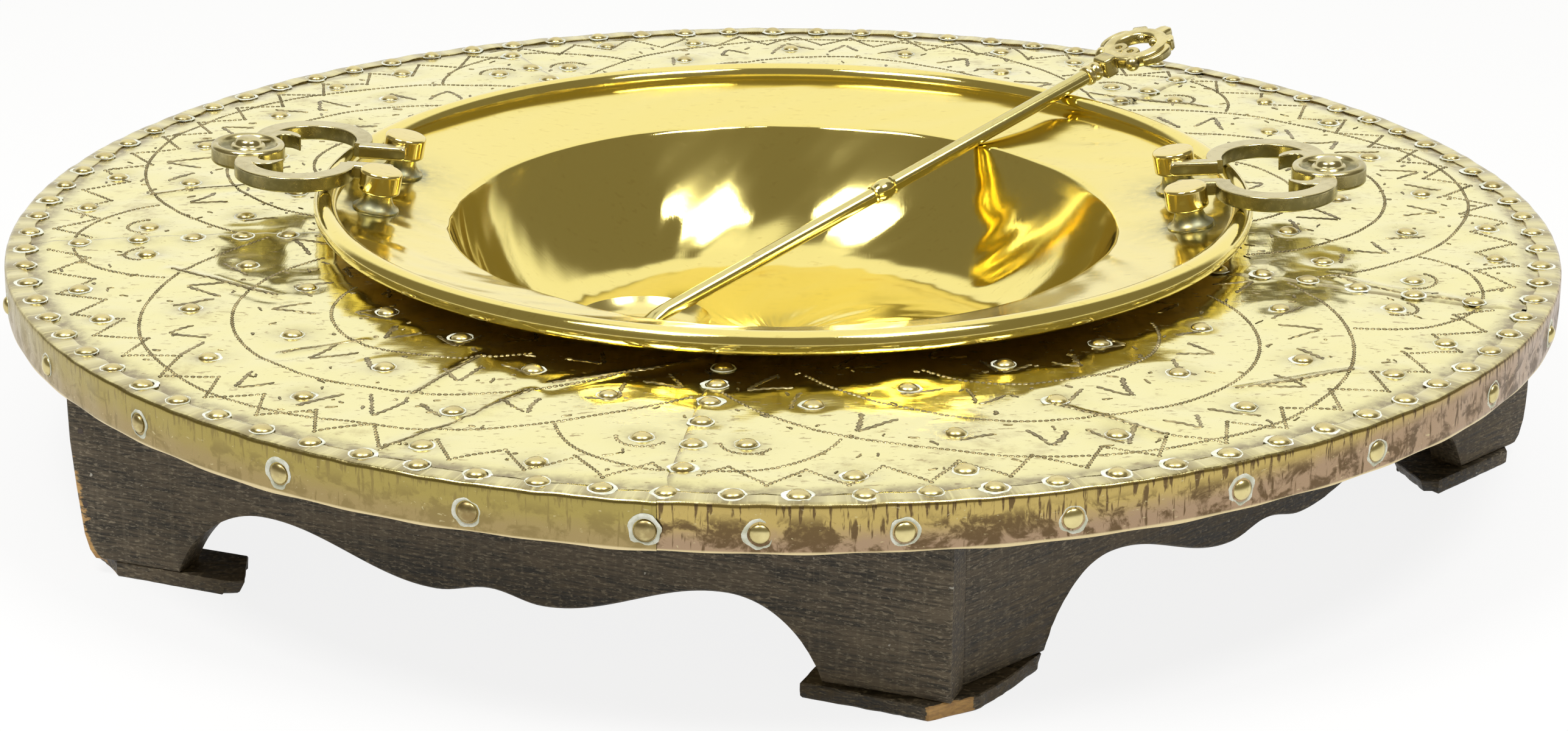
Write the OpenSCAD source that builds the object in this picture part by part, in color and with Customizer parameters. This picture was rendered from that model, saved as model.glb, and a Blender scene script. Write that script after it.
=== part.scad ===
// Brasero: a brass fire pan with two hinged handles, hung in a round
// five-footed wooden stand clad in nailed brass sheet, with its fire shovel.
// Millimetres, +Z up, origin on the floor under the middle of the stand.
// The front corner of the base points towards -Y and slightly to +X.

/* [Round top] */
// Outer radius of the top over its brass edge band
top_r = 475; // [440:1:520]
// Height of the top's upper edge above the floor
stand_h = 137; // [125:1:180]
// Thickness of the wooden top
board_t = 24; // [18:0.5:30]
// Radius of the hole the fire pan hangs in
hole_r = 216; // [214:0.5:224]
// Thickness of the brass sheet and of the edge band
sheet_t = 0.8; // [0.5:0.1:1.2]
// How far the band's flange reaches over the top
flange_w = 14; // [10:0.5:20]
// Height of the edge band
band_h = 27; // [22:0.5:32]
// Direction of the joint in the edge band, degrees
band_joint = 263.5; // [255:0.1:270]

/* [Base] */
// Distance of the front corner of the base from the middle
front_corner_r = 437; // [410:1:455]
// Distance of the right corner
right_corner_r = 463; // [430:1:470]
// Distance of the two back corners
back_corner_r = 455; // [430:1:470]
// Distance of the left corner
left_corner_r = 466; // [430:1:470]
// Thickness of the apron boards
apron_t = 22; // [16:0.5:28]
// How far a lapping apron's end stands past its neighbour's face
lap_over = 0.3; // [0:0.1:1]
// Distance of each foot from the middle of the pattern cut in its apron
arch_reach = 193; // [183:1:195]
// How far the front right apron's pattern is set towards the right
front_shift = 12; // [0:1:15]
// Height of the arch beside each foot
arch_h = 42; // [30:1:52]
// Width of the steep side of each arch
arch_w = 54; // [40:1:70]
// How much that side leans at the foot, degrees
arch_lean = 25; // [0:1:35]
// Height of the two low lobes of the apron above its bottom
lobe_h = 16.5; // [10:0.5:24]
// Distance of each lobe from the middle of the apron
lobe_s = 32; // [20:1:50]
// Height of the small rise between the lobes
notch_h = 22; // [16:0.5:30]
// Thickness of the shoe under each foot
shoe_t = 9; // [6:0.5:14]
// How far each shoe reaches inwards past its apron
shoe_in = 14; // [8:1:20]
// Length of each shoe along the apron that ends at its corner
shoe_heel = 72; // [65:1:80]
// Length of each shoe along the apron that starts at its corner
shoe_toe = 87; // [80:1:95]
// Length of the two side shoes along the front aprons
shoe_long = 101; // [90:1:105]
// How far those long ends are cut back
end_cut = 8; // [4:1:10]
// How far the side shoes' cut lies from their corners
side_cut = 20; // [12:1:28]
// How far the shoes stand out past the aprons that end at their corners
shoe_out = 3.5; // [0:0.5:6]
// How far the other shoes' sawn corner stands out past the apron that ends there
facet_in = 7; // [4:0.5:10]
// How far it stands out past the apron that starts there
facet_out = 12.5; // [8:0.5:16]
// Distance of that end of it from the corner
facet_l = 23; // [15:1:30]

/* [Fire pan] */
// Radius of the pan's mouth
mouth_r = 208; // [205:0.5:210]
// Depth of the bowl below its mouth
bowl_d = 82; // [60:1:84]
// Thickness of the pan's sheet
pan_t = 2; // [1.5:0.1:2.5]
// Slope of the pan's broad rim, degrees
rim_slope = 11.2; // [9:0.1:13]
// Slope of the bowl's wall, degrees
wall_slope = 58; // [52:1:66]
// Radius between the bowl's floor and wall
bowl_fillet = 40; // [25:1:45]
// Radius of the rounded edge at the mouth
lip_r = 5; // [3.5:0.5:8]
// Radius of the circle the rolled edge runs on
roll_r = 283; // [280:1:290]
// Radius of the rolled edge itself
roll_or = 7; // [6:0.5:8]
// Radius of the wire inside the rolled edge
wire_r = 4.95; // [3.5:0.05:5]

/* [Handles and studs] */
// Direction of the left handle, degrees
left_dir = 176; // [170:0.5:186]
// Direction of the right handle, degrees
right_dir = 0.5; // [-6:0.5:6]
// Distance of each handle's pivot from the pan's axis
pivot_r = 246; // [243:0.5:249]
// Height of the pivot above the pan's rim, along the stud
pivot_h = 18.5; // [18:0.5:22]
// Half the distance between a handle's two studs
stud_half = 39; // [38:0.5:42]
// Radius of a stud's head
head_r = 13; // [11:0.5:13.5]
// Height of a stud's head
head_h = 14; // [12:0.5:16]
// Radius of the foot of a stud
stud_foot_r = 14; // [12:0.5:16]
// Thickness of the handle
bow_t = 9; // [7:0.5:10]
// Outer radius of each open scroll of a handle
scroll_r = 38; // [34:0.5:42]
// Width of the scroll's bar
scroll_w = 12; // [9:0.5:14]
// Radius of the handle's middle disc
disc_r = 23; // [18:0.5:26]
// Thickness of the handle's middle disc
disc_t = 12; // [10:0.5:14]
// Radius of a handle's pivot pins
pin_r = 3.2; // [2.5:0.1:3.6]

/* [Shovel] */
// Direction the shovel's rod points in, degrees
rod_dir = 35.5; // [30:0.5:42]
// Distance of the rod's line from the pan's axis
rod_off = 60; // [52:1:66]
// Radius of the rod
rod_r = 5.2; // [4:0.1:6]
// Radius of the shovel's blade
blade_r = 44; // [38:1:45]
// Thickness of the blade
blade_t = 1.6; // [1.2:0.1:2.2]
// Height of the blade's turned-up edge
blade_h = 8; // [5:0.5:10]
// Radius of the finial's ring
ring_r = 19; // [16:0.5:22]
// Radius of the bar the ring is made of
ring_bar = 5; // [4:0.1:6]

/* [Nails] */
// Radius of a nail's domed head
nail_r = 5.5; // [4:0.1:6.5]
// Height of a nail's head
nail_h = 2.8; // [2:0.1:4]
// Radius of a nail's shank
shank_r = 1.4; // [1:0.1:2]
// Length of a nail's shank
shank_l = 12; // [10:0.5:14]
// Radius of the nails that hold the corners of the base
corner_nail_r = 1.8; // [1.4:0.1:2.4]
// Length of the nails that hold the corners
corner_nail_l = 42; // [36:1:50]
// Height of the lower nail of each corner
corner_nail_low = 42; // [30:1:55]
// Height of the upper nail of each corner
corner_nail_high = 86; // [70:1:100]
// Distance of those nails from the corner, along the lapping apron
corner_nail_in = 2; // [1:0.5:4]
// Distance of the innermost nail of a seam from the middle
seam_nail_in = 279; // [272:1:290]
// Distance of the outermost nail of a seam from the middle
seam_nail_out = 431; // [420:1:440]
// Distance of the two nails beside each seam from the middle
flank_nail_r = 391; // [380:1:400]
// Distance of the nails along the border from the middle
border_nail_r = 436; // [428:1:442]
// Distance of the centre of each sheet's arcs from the middle
arc_centre_r = 253; // [248:1:258]
// Radius of the inner arc of nails on each sheet
arc_in_r = 50; // [46:1:56]
// Radius of the middle arc of nails
arc_mid_r = 108; // [100:1:116]
// Radius of the outer arc of nails
arc_out_r = 163; // [154:1:168]
// Number of nails along the top's flange
flange_nail_n = 88; // [72:1:96]
// Number of nails along the edge band from the right end of the front round to its left end
band_nail_n = 18; // [12:1:24]
// How far those nails sit below the middle of the band
band_nail_drop = 2.5; // [1.5:0.5:4]

/* [Hidden] */
$fn = 64;
// Clearance left between pieces that move apart
gap = 0.4;
// Running clearance of the pivots, and of nails in their holes
run = 0.05;
// Directions of the five seams between the brass sheets
seam = [50.5, 118.4, 189.3, 264.3, 339.5];
// Places of a seam's six nails between the innermost and the outermost
seam_steps = [0, 27 / 152, 54 / 152, 84 / 152, 117 / 152, 1];
// Corners of the base, as direction and distance: front, right, back right, back left, left
corner = [[281.3, front_corner_r], [354.8, right_corner_r], [67, back_corner_r],
    [140, back_corner_r], [213, left_corner_r]];

sheet_top = stand_h - sheet_t;
board_top = sheet_top - sheet_t;
apron_top = board_top - board_t;
sheet_in = hole_r + 1;
wood_r = top_r - sheet_t - 0.3;
flange_in = top_r - flange_w;
flange_nail_r = flange_in + 2;

mouth_z = sheet_top + gap + pan_t / cos(rim_slope) - (sheet_in - mouth_r) * tan(rim_slope);
floor_z = mouth_z - bowl_d;
floor_r = mouth_r - (bowl_fillet - (bowl_fillet - bowl_d) * cos(wall_slope)) / sin(wall_slope);
lip_t = lip_r * tan((wall_slope - rim_slope) / 2);
lip_x = mouth_r + lip_t * cos(rim_slope) + lip_r * sin(rim_slope);
lip_z = mouth_z + lip_t * sin(rim_slope) - lip_r * cos(rim_slope);
roll_z = rim_z(roll_r) + 1.4;
roll_crest = roll_z + roll_or;

stud_x = pivot_r + pivot_h * sin(rim_slope);
stud_z = rim_z(norm([stud_x, stud_half]));
pivot_z = stud_z + pivot_h * cos(rim_slope);
stud_shank = 5;
washer_z = -pan_t - 2.2;
bar_out = stud_half - head_r - gap;
bar_in = bar_out - bow_t;
scroll_x = 56;
scroll_y = bar_out + 0.4;
rest_x = sqrt(roll_r * roll_r - pow(scroll_y + scroll_r, 2)) - pivot_r;
rest_tilt = atan((roll_crest + 1.5 * gap + bow_t / 2 - pivot_z) / rest_x);
disc_x = 92;

mouth_s = sqrt(lip_x * lip_x - rod_off * rod_off);
roll_s = sqrt(roll_r * roll_r - rod_off * rod_off);
rod_slope_0 = rod_angle(17);
rod_slope = rod_angle(rod_slope_0);
rod_roll_z = roll_z + (roll_or + rod_r + gap) / cos(rod_slope);
blade_z = floor_z + gap;
blade_top = blade_z + blade_t;
rod_end_z = blade_top + rod_r + 4;
rod_end_s = rod_s(rod_end_z);
blade_s = rod_end_s - 18;
blade_flat = blade_r - 12;
finial_s = roll_s + 14;
rod_l = (finial_s - rod_end_s) / cos(rod_slope);
tang_h = 3;
rivet_r = 2;

// Height of the pan's rim at a distance from its axis
function rim_z(r) = mouth_z + (r - mouth_r) * tan(rim_slope);
function rim_under(r) = rim_z(r) - pan_t / cos(rim_slope);

// Slope at which the rod clears both the mouth and the rolled edge
function rod_angle(guess) =
    atan((roll_z + (roll_or + rod_r + gap) / cos(guess)
        - lip_z - (lip_r + rod_r + gap) / cos(guess)) / (roll_s - mouth_s));

// Place along the rod's line, in plan, at which its axis has a height
function rod_s(z) = roll_s + (z - rod_roll_z) / tan(rod_slope);

function polar(a, r) = [r * cos(a), r * sin(a)];
function next(i) = (i + 1) % 5;
function prev(i) = (i + 4) % 5;
function corner_at(i) = polar(corner[i][0], corner[i][1]);
function unit(v) = v / norm(v);
// Direction and outward normal of the apron that starts at corner i
function along(i) = unit(corner_at(next(i)) - corner_at(i));
function outward(i) = [along(i)[1], -along(i)[0]];
function side_l(i) = norm(corner_at(next(i)) - corner_at(i));
// Whether corner i is lapped by the apron that starts there, not by the one that ends there
function laps_first(i) = i == 4;
// Length by which the lapping apron runs past corner i
function lap(i) = apron_t / tan(acos(along(prev(i)) * along(i))) + lap_over;
// Middle of the pattern cut in apron i, from the corner it starts at
function pattern_mid(i) = side_l(i) / 2 + (i == 0 ? front_shift : 0);
function seam_end(i) = i == 4 ? seam[0] + 360 : seam[i + 1];
function seam_mid(i) = (seam[i] + seam_end(i)) / 2;

// Places of the nails, as flat positions on the top
function flange_spots() =
    [for (i = [0 : flange_nail_n - 1]) polar((i + 0.5) * 360 / flange_nail_n, flange_nail_r)];
function seam_spots() =
    [for (a = seam) for (k = seam_steps) polar(a, seam_nail_in + k * (seam_nail_out - seam_nail_in))];
function flank_spots() =
    [for (a = seam) for (s = [-1, 1]) polar(a + 4 * s, flank_nail_r)];
function border_spots() =
    [for (a = seam) for (s = [-18.5, -10, 11.5, 19]) polar(a + s, border_nail_r)];
function arc_spots(n, pitch, r) =
    [for (i = [0 : 4]) for (k = [0 : n - 1])
        polar(seam_mid(i), arc_centre_r) + polar(seam_mid(i) + (k - (n - 1) / 2) * pitch, r)];
function field_spots() =
    concat(flank_spots(), border_spots(), arc_spots(2, 80, arc_in_r), arc_spots(4, 44, arc_mid_r),
        arc_spots(6, 30, arc_out_r));
// Directions of the band's nails: by hand along the front, one beside the joint, even round the back
front_nails = [224.5, 237.9, 251.6, 269.7, 278.4, 288.9, 300.7, 312.3, 326.6];
function band_dirs() =
    let (right = front_nails[len(front_nails) - 1],
        step = (front_nails[0] + 360 - right) / (band_nail_n + 1))
    concat(front_nails, [band_joint - 0.7], [for (k = [1 : band_nail_n]) right + k * step]);

// A flat wedge between two directions, wide enough to cover the top
module wedge(a0, a1) {
    half = (a1 - a0) / 2;
    far = 2 * top_r;
    polygon([[0, 0], polar(a0, far), polar(a0 + half, far / cos(half)), polar(a1, far)]);
}

// A flat ring with straight ends, between two radii and two directions
module ring_piece(r_in, r_out, h, a0, a1) {
    intersection() {
        difference() {
            cylinder(r = r_out, h = h);
            translate([0, 0, -1]) cylinder(r = r_in, h = h + 2);
        }
        translate([0, 0, -1]) linear_extrude(height = h + 2) wedge(a0, a1);
    }
}

// A domed head that stands on z = 0
module dome(r, h) {
    ball = (r * r + h * h) / (2 * h);
    difference() {
        translate([0, 0, h - ball]) sphere(r = ball);
        translate([-50, -50, -100]) cube([100, 100, 100]);
    }
}

// One nail with its head on z = 0 and its shank pointing down
module nail() {
    dome(nail_r, nail_h);
    translate([0, 0, -shank_l]) cylinder(r = shank_r, h = shank_l);
}

module nails_at(spots, z) {
    color([0.85, 0.7, 0.35])
    for (p = spots)
        translate([p[0], p[1], z]) nail();
}

// Holes for the nails of the top, as deep as the longest of them
module top_nail_holes() {
    for (p = concat(seam_spots(), field_spots(), flange_spots()))
        translate([p[0], p[1], sheet_top - shank_l - 1]) cylinder(r = shank_r + run, h = shank_l + 5);
}

module at_band_nails() {
    for (a = band_dirs())
        rotate([0, 0, a])
            translate([top_r, 0, stand_h - band_h / 2 - band_nail_drop])
                rotate([0, 90, 0]) children();
}

module band_nail_holes() {
    at_band_nails() translate([0, 0, -shank_l - 1]) cylinder(r = shank_r + run, h = shank_l + 5);
}

// One of the five wooden segments of the round top
module top_board(i) {
    color([0.25, 0.16, 0.1])
    difference() {
        translate([0, 0, apron_top])
            ring_piece(hole_r, wood_r, board_t, seam_mid(i), seam_mid(next(i)) + (i == 4 ? 360 : 0));
        top_nail_holes();
        band_nail_holes();
    }
}

// One of the five brass sheets nailed over the top
module top_sheet(i) {
    color([0.88, 0.72, 0.35])
    difference() {
        translate([0, 0, board_top])
            ring_piece(sheet_in, wood_r - sheet_t, sheet_t, seam[i], seam_end(i));
        top_nail_holes();
    }
}

// One of the two strips of the edge band, turned over the top as a flange
module band(a0) {
    color([0.8, 0.62, 0.3])
    difference() {
        intersection() {
            union() {
                translate([0, 0, stand_h - band_h]) difference() {
                    cylinder(r = top_r, h = band_h);
                    translate([0, 0, -1]) cylinder(r = top_r - sheet_t, h = band_h + 2);
                }
                translate([0, 0, sheet_top]) difference() {
                    cylinder(r = top_r, h = sheet_t);
                    translate([0, 0, -1]) cylinder(r = flange_in, h = sheet_t + 2);
                }
            }
            rotate([0, 0, a0]) translate([-2 * top_r, 0, 0]) cube([4 * top_r, 2 * top_r, 2 * stand_h]);
        }
        top_nail_holes();
        band_nail_holes();
    }
}

// Lower edge of an apron from its foot to its middle: distance from the
// middle and height above the foot's bottom
function apron_half() =
    let (apex = arch_reach - arch_w, steep = 90 - arch_lean)
    concat(
        [for (t = [arch_lean : steep / 5 : 90 - steep / 10]) [apex + arch_w * cos(t) / cos(arch_lean),
            arch_h * (sin(t) - sin(arch_lean)) / (1 - sin(arch_lean))]],
        [for (t = [0 : 15 : 165])
            [apex - (apex - lobe_s) * t / 180, lobe_h + (arch_h - lobe_h) * (1 + cos(t)) / 2]],
        [for (t = [0 : 30 : 180])
            [lobe_s - lobe_s * t / 180, lobe_h + (notch_h - lobe_h) * (1 - cos(t)) / 2]]);

// Whole outline of an apron, from the corner it starts at
function apron_outline(i) =
    let (mid = pattern_mid(i), edge = apron_half(), n = len(edge), h = apron_top - shoe_t,
        first = laps_first(i) ? -lap(i) : -2 * apron_t,
        last = side_l(i) + (laps_first(next(i)) ? 2 * apron_t : lap(next(i))))
    concat(
        [[first, h], [first, 0]],
        [for (p = edge) [mid - p[0], p[1]]],
        [for (k = [n - 2 : -1 : 0]) [mid + edge[k][0], edge[k][1]]],
        [[last, 0], [last, h]]);

// Moves to the corner an apron starts at, with x along its outer face
module at_apron(i) {
    c = corner_at(i);
    translate([c[0], c[1], 0]) rotate([0, 0, atan2(along(i)[1], along(i)[0])]) children();
}

// The nails that hold corner i, driven through the lapping apron
module corner_pair(i, r) {
    for (z = [corner_nail_low, corner_nail_high])
        at_apron(laps_first(i) ? i : prev(i))
            translate([laps_first(i) ? corner_nail_in : side_l(prev(i)) - corner_nail_in, 0, z])
                rotate([-90, 0, 0]) cylinder(r = r, h = corner_nail_l);
}

module corner_nails() {
    color([0.2, 0.18, 0.17])
    for (i = [0 : 4])
        corner_pair(i, corner_nail_r);
}

// Everything further in than a depth behind the outer face of apron i
module behind_face(i, depth) {
    at_apron(i) translate([-top_r, depth, 0]) cube([3 * top_r, 3 * top_r, stand_h]);
}

// One of the five shaped boards between the feet
module apron(i) {
    color([0.2, 0.12, 0.07])
    difference() {
        intersection() {
            at_apron(i)
                translate([0, apron_t, shoe_t]) rotate([90, 0, 0])
                    linear_extrude(height = apron_t) polygon(apron_outline(i));
            behind_face(prev(i), laps_first(i) ? -top_r : apron_t);
            behind_face(next(i), laps_first(next(i)) ? apron_t : -top_r);
        }
        corner_pair(i, corner_nail_r + run);
        corner_pair(next(i), corner_nail_r + run);
    }
}

// End of one arm of a shoe: distance from the corner and past the apron's face
function shoe_end(l, out, cut) =
    cut ? [[l - end_cut, out], [l, -end_cut / 2], [l - 2 * end_cut, -apron_t - shoe_in]]
        : [[l, out], [l, -apron_t - shoe_in]];

// The worn plate under one foot, its outer corner sawn off
module shoe(i) {
    w = corner_at(i);
    da = along(prev(i));
    na = outward(prev(i));
    db = along(i);
    nb = outward(i);
    right = i == 1;
    left = i == 4;
    out = left ? 0 : shoe_out;
    heel = shoe_end(right ? shoe_long : shoe_heel, out, right);
    toe = shoe_end(left ? shoe_long : shoe_toe, 0, left);
    saw = left || right ? [[side_cut, out], [side_cut, 0]] : [[-1, facet_in], [facet_l, facet_out]];
    color([0.16, 0.1, 0.06])
    linear_extrude(height = shoe_t)
        polygon(concat(
            [w - saw[0][0] * da + saw[0][1] * na, w + saw[1][0] * db + saw[1][1] * nb],
            [for (p = toe) w + p[0] * db + p[1] * nb],
            [w - (apron_t + shoe_in) * (na + nb) / (1 + na * nb)],
            [for (k = [len(heel) - 1 : -1 : 0]) w - heel[k][0] * da + heel[k][1] * na]));
}

// Section of the pan's sheet, inside first and then back along the underside
module pan_section() {
    fc = floor_z + bowl_fillet;
    rf = bowl_fillet + pan_t;
    ru = lip_r - pan_t;
    end = roll_r - roll_or + 2;
    polygon(concat(
        [[0, floor_z]],
        [for (t = [0 : wall_slope / 8 : wall_slope])
            [floor_r + bowl_fillet * sin(t), fc - bowl_fillet * cos(t)]],
        [for (t = [wall_slope : -(wall_slope - rim_slope) / 4 : rim_slope - 0.01])
            [lip_x - lip_r * sin(t), lip_z + lip_r * cos(t)]],
        [[end, rim_z(end)], [end, rim_under(end)]],
        [for (t = [rim_slope : (wall_slope - rim_slope) / 4 : wall_slope + 0.01])
            [lip_x - ru * sin(t), lip_z + ru * cos(t)]],
        [for (t = [wall_slope : -wall_slope / 8 : -0.01])
            [floor_r + rf * sin(t), fc - rf * cos(t)]],
        [[0, floor_z - pan_t]]));
}

// Everything from just over the rim's upper face down
module below_rim() {
    rotate_extrude($fn = 360)
        polygon([[mouth_r, rim_z(mouth_r) + run], [roll_r, rim_z(roll_r) + run],
            [roll_r, rim_z(roll_r) - 20], [mouth_r, rim_z(mouth_r) - 20]]);
}

// Everything from just below the rim's underside up
module above_rim_under() {
    rotate_extrude($fn = 360)
        polygon([[mouth_r, rim_under(mouth_r) - run], [roll_r, rim_under(roll_r) - run],
            [roll_r, rim_under(roll_r) + 20], [mouth_r, rim_under(mouth_r) + 20]]);
}

// Moves to a stud's seat on the rim, with z along the stud; side is -1 or 1
module at_stud(dir, side) {
    rotate([0, 0, dir])
        translate([stud_x, side * stud_half, stud_z])
            rotate([0, -rim_slope, 0]) children();
}

module at_all_studs() {
    for (dir = [left_dir, right_dir])
        for (side = [-1, 1])
            at_stud(dir, side) children();
}

// Brass pan with a bowl, a broad sloping rim and a rolled edge
module fire_pan() {
    color([0.93, 0.75, 0.28])
    difference() {
        union() {
            rotate_extrude() pan_section();
            translate([0, 0, roll_z]) rotate_extrude() translate([roll_r, 0]) circle(r = roll_or);
        }
        translate([0, 0, roll_z]) rotate_extrude() translate([roll_r, 0]) circle(r = wire_r + run);
        at_all_studs() translate([0, 0, -10]) cylinder(r = stud_shank + run, h = 20);
    }
}

// Iron wire the pan's edge is rolled around
module rim_wire() {
    color([0.25, 0.23, 0.22])
    translate([0, 0, roll_z]) rotate_extrude() translate([roll_r, 0]) circle(r = wire_r);
}

// Turned stud riveted through the rim, with a bore for a handle's pin
module stud(dir, side) {
    z0 = pivot_h - head_h / 2;
    z1 = pivot_h + head_h / 2;
    color([0.85, 0.68, 0.3])
    difference() {
        union() {
            difference() {
                at_stud(dir, side) rotate_extrude()
                    polygon([[0, -2], [stud_foot_r, -2], [stud_foot_r, 1.5], [10, 4.5], [8, 7],
                        [7.5, z0 - 1.5], [head_r - 1, z0], [head_r, z0 + 1.5], [head_r, z1 - 1.5],
                        [head_r - 1, z1 - 0.5], [head_r - 3, z1], [0, z1]]);
                below_rim();
            }
            at_stud(dir, side) translate([0, 0, washer_z]) cylinder(r = stud_shank, h = 1 - washer_z);
            at_stud(dir, side) translate([0, 0, washer_z - 2.2])
                cylinder(r1 = stud_shank, r2 = stud_shank + 2, h = 2.2);
        }
        at_stud(dir, side) translate([0, -side * (head_r + 1), pivot_h])
            rotate([-90 * side, 0, 0]) cylinder(r = pin_r + run, h = head_r + 3.5);
    }
}

// Washers under the rim, one on each stud
module stud_washers() {
    color([0.8, 0.64, 0.3])
    difference() {
        at_all_studs() translate([0, 0, washer_z]) difference() {
            cylinder(r = stud_shank + 6, h = -washer_z);
            translate([0, 0, -1]) cylinder(r = stud_shank + run, h = 2 - washer_z);
        }
        above_rim_under();
    }
}

// One half of a handle, on the +y side
module handle_half() {
    t = bow_t / 2;
    translate([0, bar_in, -t]) cube([scroll_x - scroll_r + 6, bow_t, bow_t]);
    translate([0, bar_in, 0]) rotate([-90, 0, 0]) cylinder(r = t, h = bow_t);
    translate([0, bar_out - 1, 0]) rotate([-90, 0, 0]) cylinder(r = pin_r, h = stud_half - bar_out + 2);
    translate([scroll_x, scroll_y, -t]) difference() {
        cylinder(r = scroll_r, h = bow_t);
        translate([0, 0, -1]) cylinder(r = scroll_r - scroll_w, h = bow_t + 2);
        translate([0, 0, -1]) linear_extrude(height = bow_t + 2)
            polygon(concat([[0, 0]], [for (a = [190 : 31 : 345]) polar(a, 2 * scroll_r)]));
    }
    translate([0, 0, -t]) linear_extrude(height = bow_t)
        translate([scroll_x, scroll_y]) polygon([[10, 3], [28, 11], [26, -9]]);
}

// Cast handle of two open scrolls and a middle disc, lying on the rolled edge
module handle(dir) {
    color([0.8, 0.66, 0.32])
    rotate([0, 0, dir]) translate([pivot_r, 0, pivot_z]) rotate([0, -rest_tilt, 0]) {
        handle_half();
        mirror([0, 1, 0]) handle_half();
        translate([disc_x, 0, -disc_t / 2]) difference() {
            cylinder(r = disc_r, h = disc_t);
            translate([0, 0, disc_t - 1.5]) difference() {
                cylinder(r = disc_r - 4, h = 3);
                translate([0, 0, -1]) cylinder(r = disc_r / 2, h = 5);
            }
        }
        translate([disc_x, 0, disc_t / 2]) dome(disc_r / 2 - 1.5, 4);
    }
}

// Moves to the foot of the rod in plan, with x along its line
module under_rod() {
    rotate([0, 0, rod_dir]) translate([0, rod_off, 0]) children();
}

// Moves to the rod's lower end, with x along the rod
module on_rod() {
    under_rod() translate([rod_end_s, 0, rod_end_z]) rotate([0, -rod_slope, 0]) children();
}

module at_blade_rivets() {
    for (s = [-22, -12])
        under_rod() translate([blade_s + s, 0, blade_top + tang_h]) children();
}

// Rod of the fire shovel, with a bead at its middle and a flat tang
module shovel_rod() {
    color([0.9, 0.72, 0.3])
    difference() {
        union() {
            on_rod() translate([-20, 0, 0]) rotate([0, 90, 0]) cylinder(r = rod_r, h = rod_l + 20);
            on_rod() translate([rod_l / 2, 0, 0]) sphere(r = rod_r + 2);
            under_rod() translate([blade_s - 28, -8, blade_top]) cube([50, 16, tang_h]);
        }
        translate([-top_r, -top_r, blade_top - 100]) cube([2 * top_r, 2 * top_r, 100]);
        at_blade_rivets() translate([0, 0, -20]) cylinder(r = rivet_r + run, h = 40);
    }
}

// Cast end of the shovel: collars, a block and an open ring to hang it by
module shovel_finial() {
    c = 26 + ring_r;
    color([0.78, 0.64, 0.32])
    on_rod() translate([rod_l, 0, 0]) {
        rotate([0, 90, 0]) cylinder(r = rod_r - 1, h = c - ring_r);
        rotate([0, 90, 0]) cylinder(r = rod_r + 1.8, h = 4);
        translate([8.5, 0, 0]) sphere(r = rod_r + 0.9);
        translate([13, -6.5, -6.5]) cube([9, 13, 13]);
        translate([c, 0, 0]) rotate_extrude() translate([ring_r, 0]) circle(r = ring_bar);
        for (side = [-1, 1])
            translate([c - ring_r + 2, side * (ring_r - 3), 0]) sphere(r = ring_bar + 0.6);
        for (side = [-1, 1])
            translate([c + 8, side * (ring_r + 5), 0]) sphere(r = 3.6);
        translate([c + ring_r + 1, 0, 0]) rotate([0, 90, 0]) cylinder(r1 = ring_bar - 1, r2 = 1.2, h = 15);
    }
}

// Shallow round blade that lies on the bowl's floor
module shovel_blade() {
    edge = blade_t * 1.2;
    color([0.9, 0.74, 0.34])
    difference() {
        under_rod() translate([blade_s, 0, blade_z]) rotate_extrude()
            polygon([[0, 0], [blade_flat, 0], [blade_flat + 7, 2.5], [blade_r, blade_h],
                [blade_r - 0.9, blade_h + edge], [blade_flat + 6, 2.5 + edge],
                [blade_flat - 0.5, blade_t], [0, blade_t]]);
        at_blade_rivets() translate([0, 0, -20]) cylinder(r = rivet_r + run, h = 40);
    }
}

// Two rivets through the tang and the blade
module blade_rivets() {
    color([0.75, 0.6, 0.3])
    at_blade_rivets() {
        dome(rivet_r * 2, 1.5);
        translate([0, 0, -tang_h - blade_t]) cylinder(r = rivet_r, h = tang_h + blade_t);
    }
}

module band_nails() {
    color([0.8, 0.66, 0.34])
    at_band_nails() nail();
}

top_board(0);  // top_board_1
top_board(1);  // top_board_2
top_board(2);  // top_board_3
top_board(3);  // top_board_4
top_board(4);  // top_board_5
apron(0);  // apron_1
apron(1);  // apron_2
apron(2);  // apron_3
apron(3);  // apron_4
apron(4);  // apron_5
shoe(0);  // shoe_1
shoe(1);  // shoe_2
shoe(2);  // shoe_3
shoe(3);  // shoe_4
shoe(4);  // shoe_5
corner_nails();
top_sheet(0);  // top_sheet_1
top_sheet(1);  // top_sheet_2
top_sheet(2);  // top_sheet_3
top_sheet(3);  // top_sheet_4
top_sheet(4);  // top_sheet_5
band(band_joint - 180);  // left_band
band(band_joint);  // right_band
nails_at(flange_spots(), stand_h);  // flange_nails
band_nails();
nails_at(seam_spots(), sheet_top);  // seam_nails
nails_at(field_spots(), sheet_top);  // field_nails
fire_pan();
rim_wire();
stud(left_dir, 1);  // left_near_stud
stud(left_dir, -1);  // left_far_stud
stud(right_dir, -1);  // right_near_stud
stud(right_dir, 1);  // right_far_stud
stud_washers();
handle(left_dir);  // left_handle
handle(right_dir);  // right_handle
shovel_rod();
shovel_finial();
shovel_blade();
blade_rivets();
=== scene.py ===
"""Looks of the brazier: brass fire pan, handles and shovel on a brass-clad five-footed stand."""

import math

import bpy
import numpy as np
from mathutils import Matrix, Vector


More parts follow.
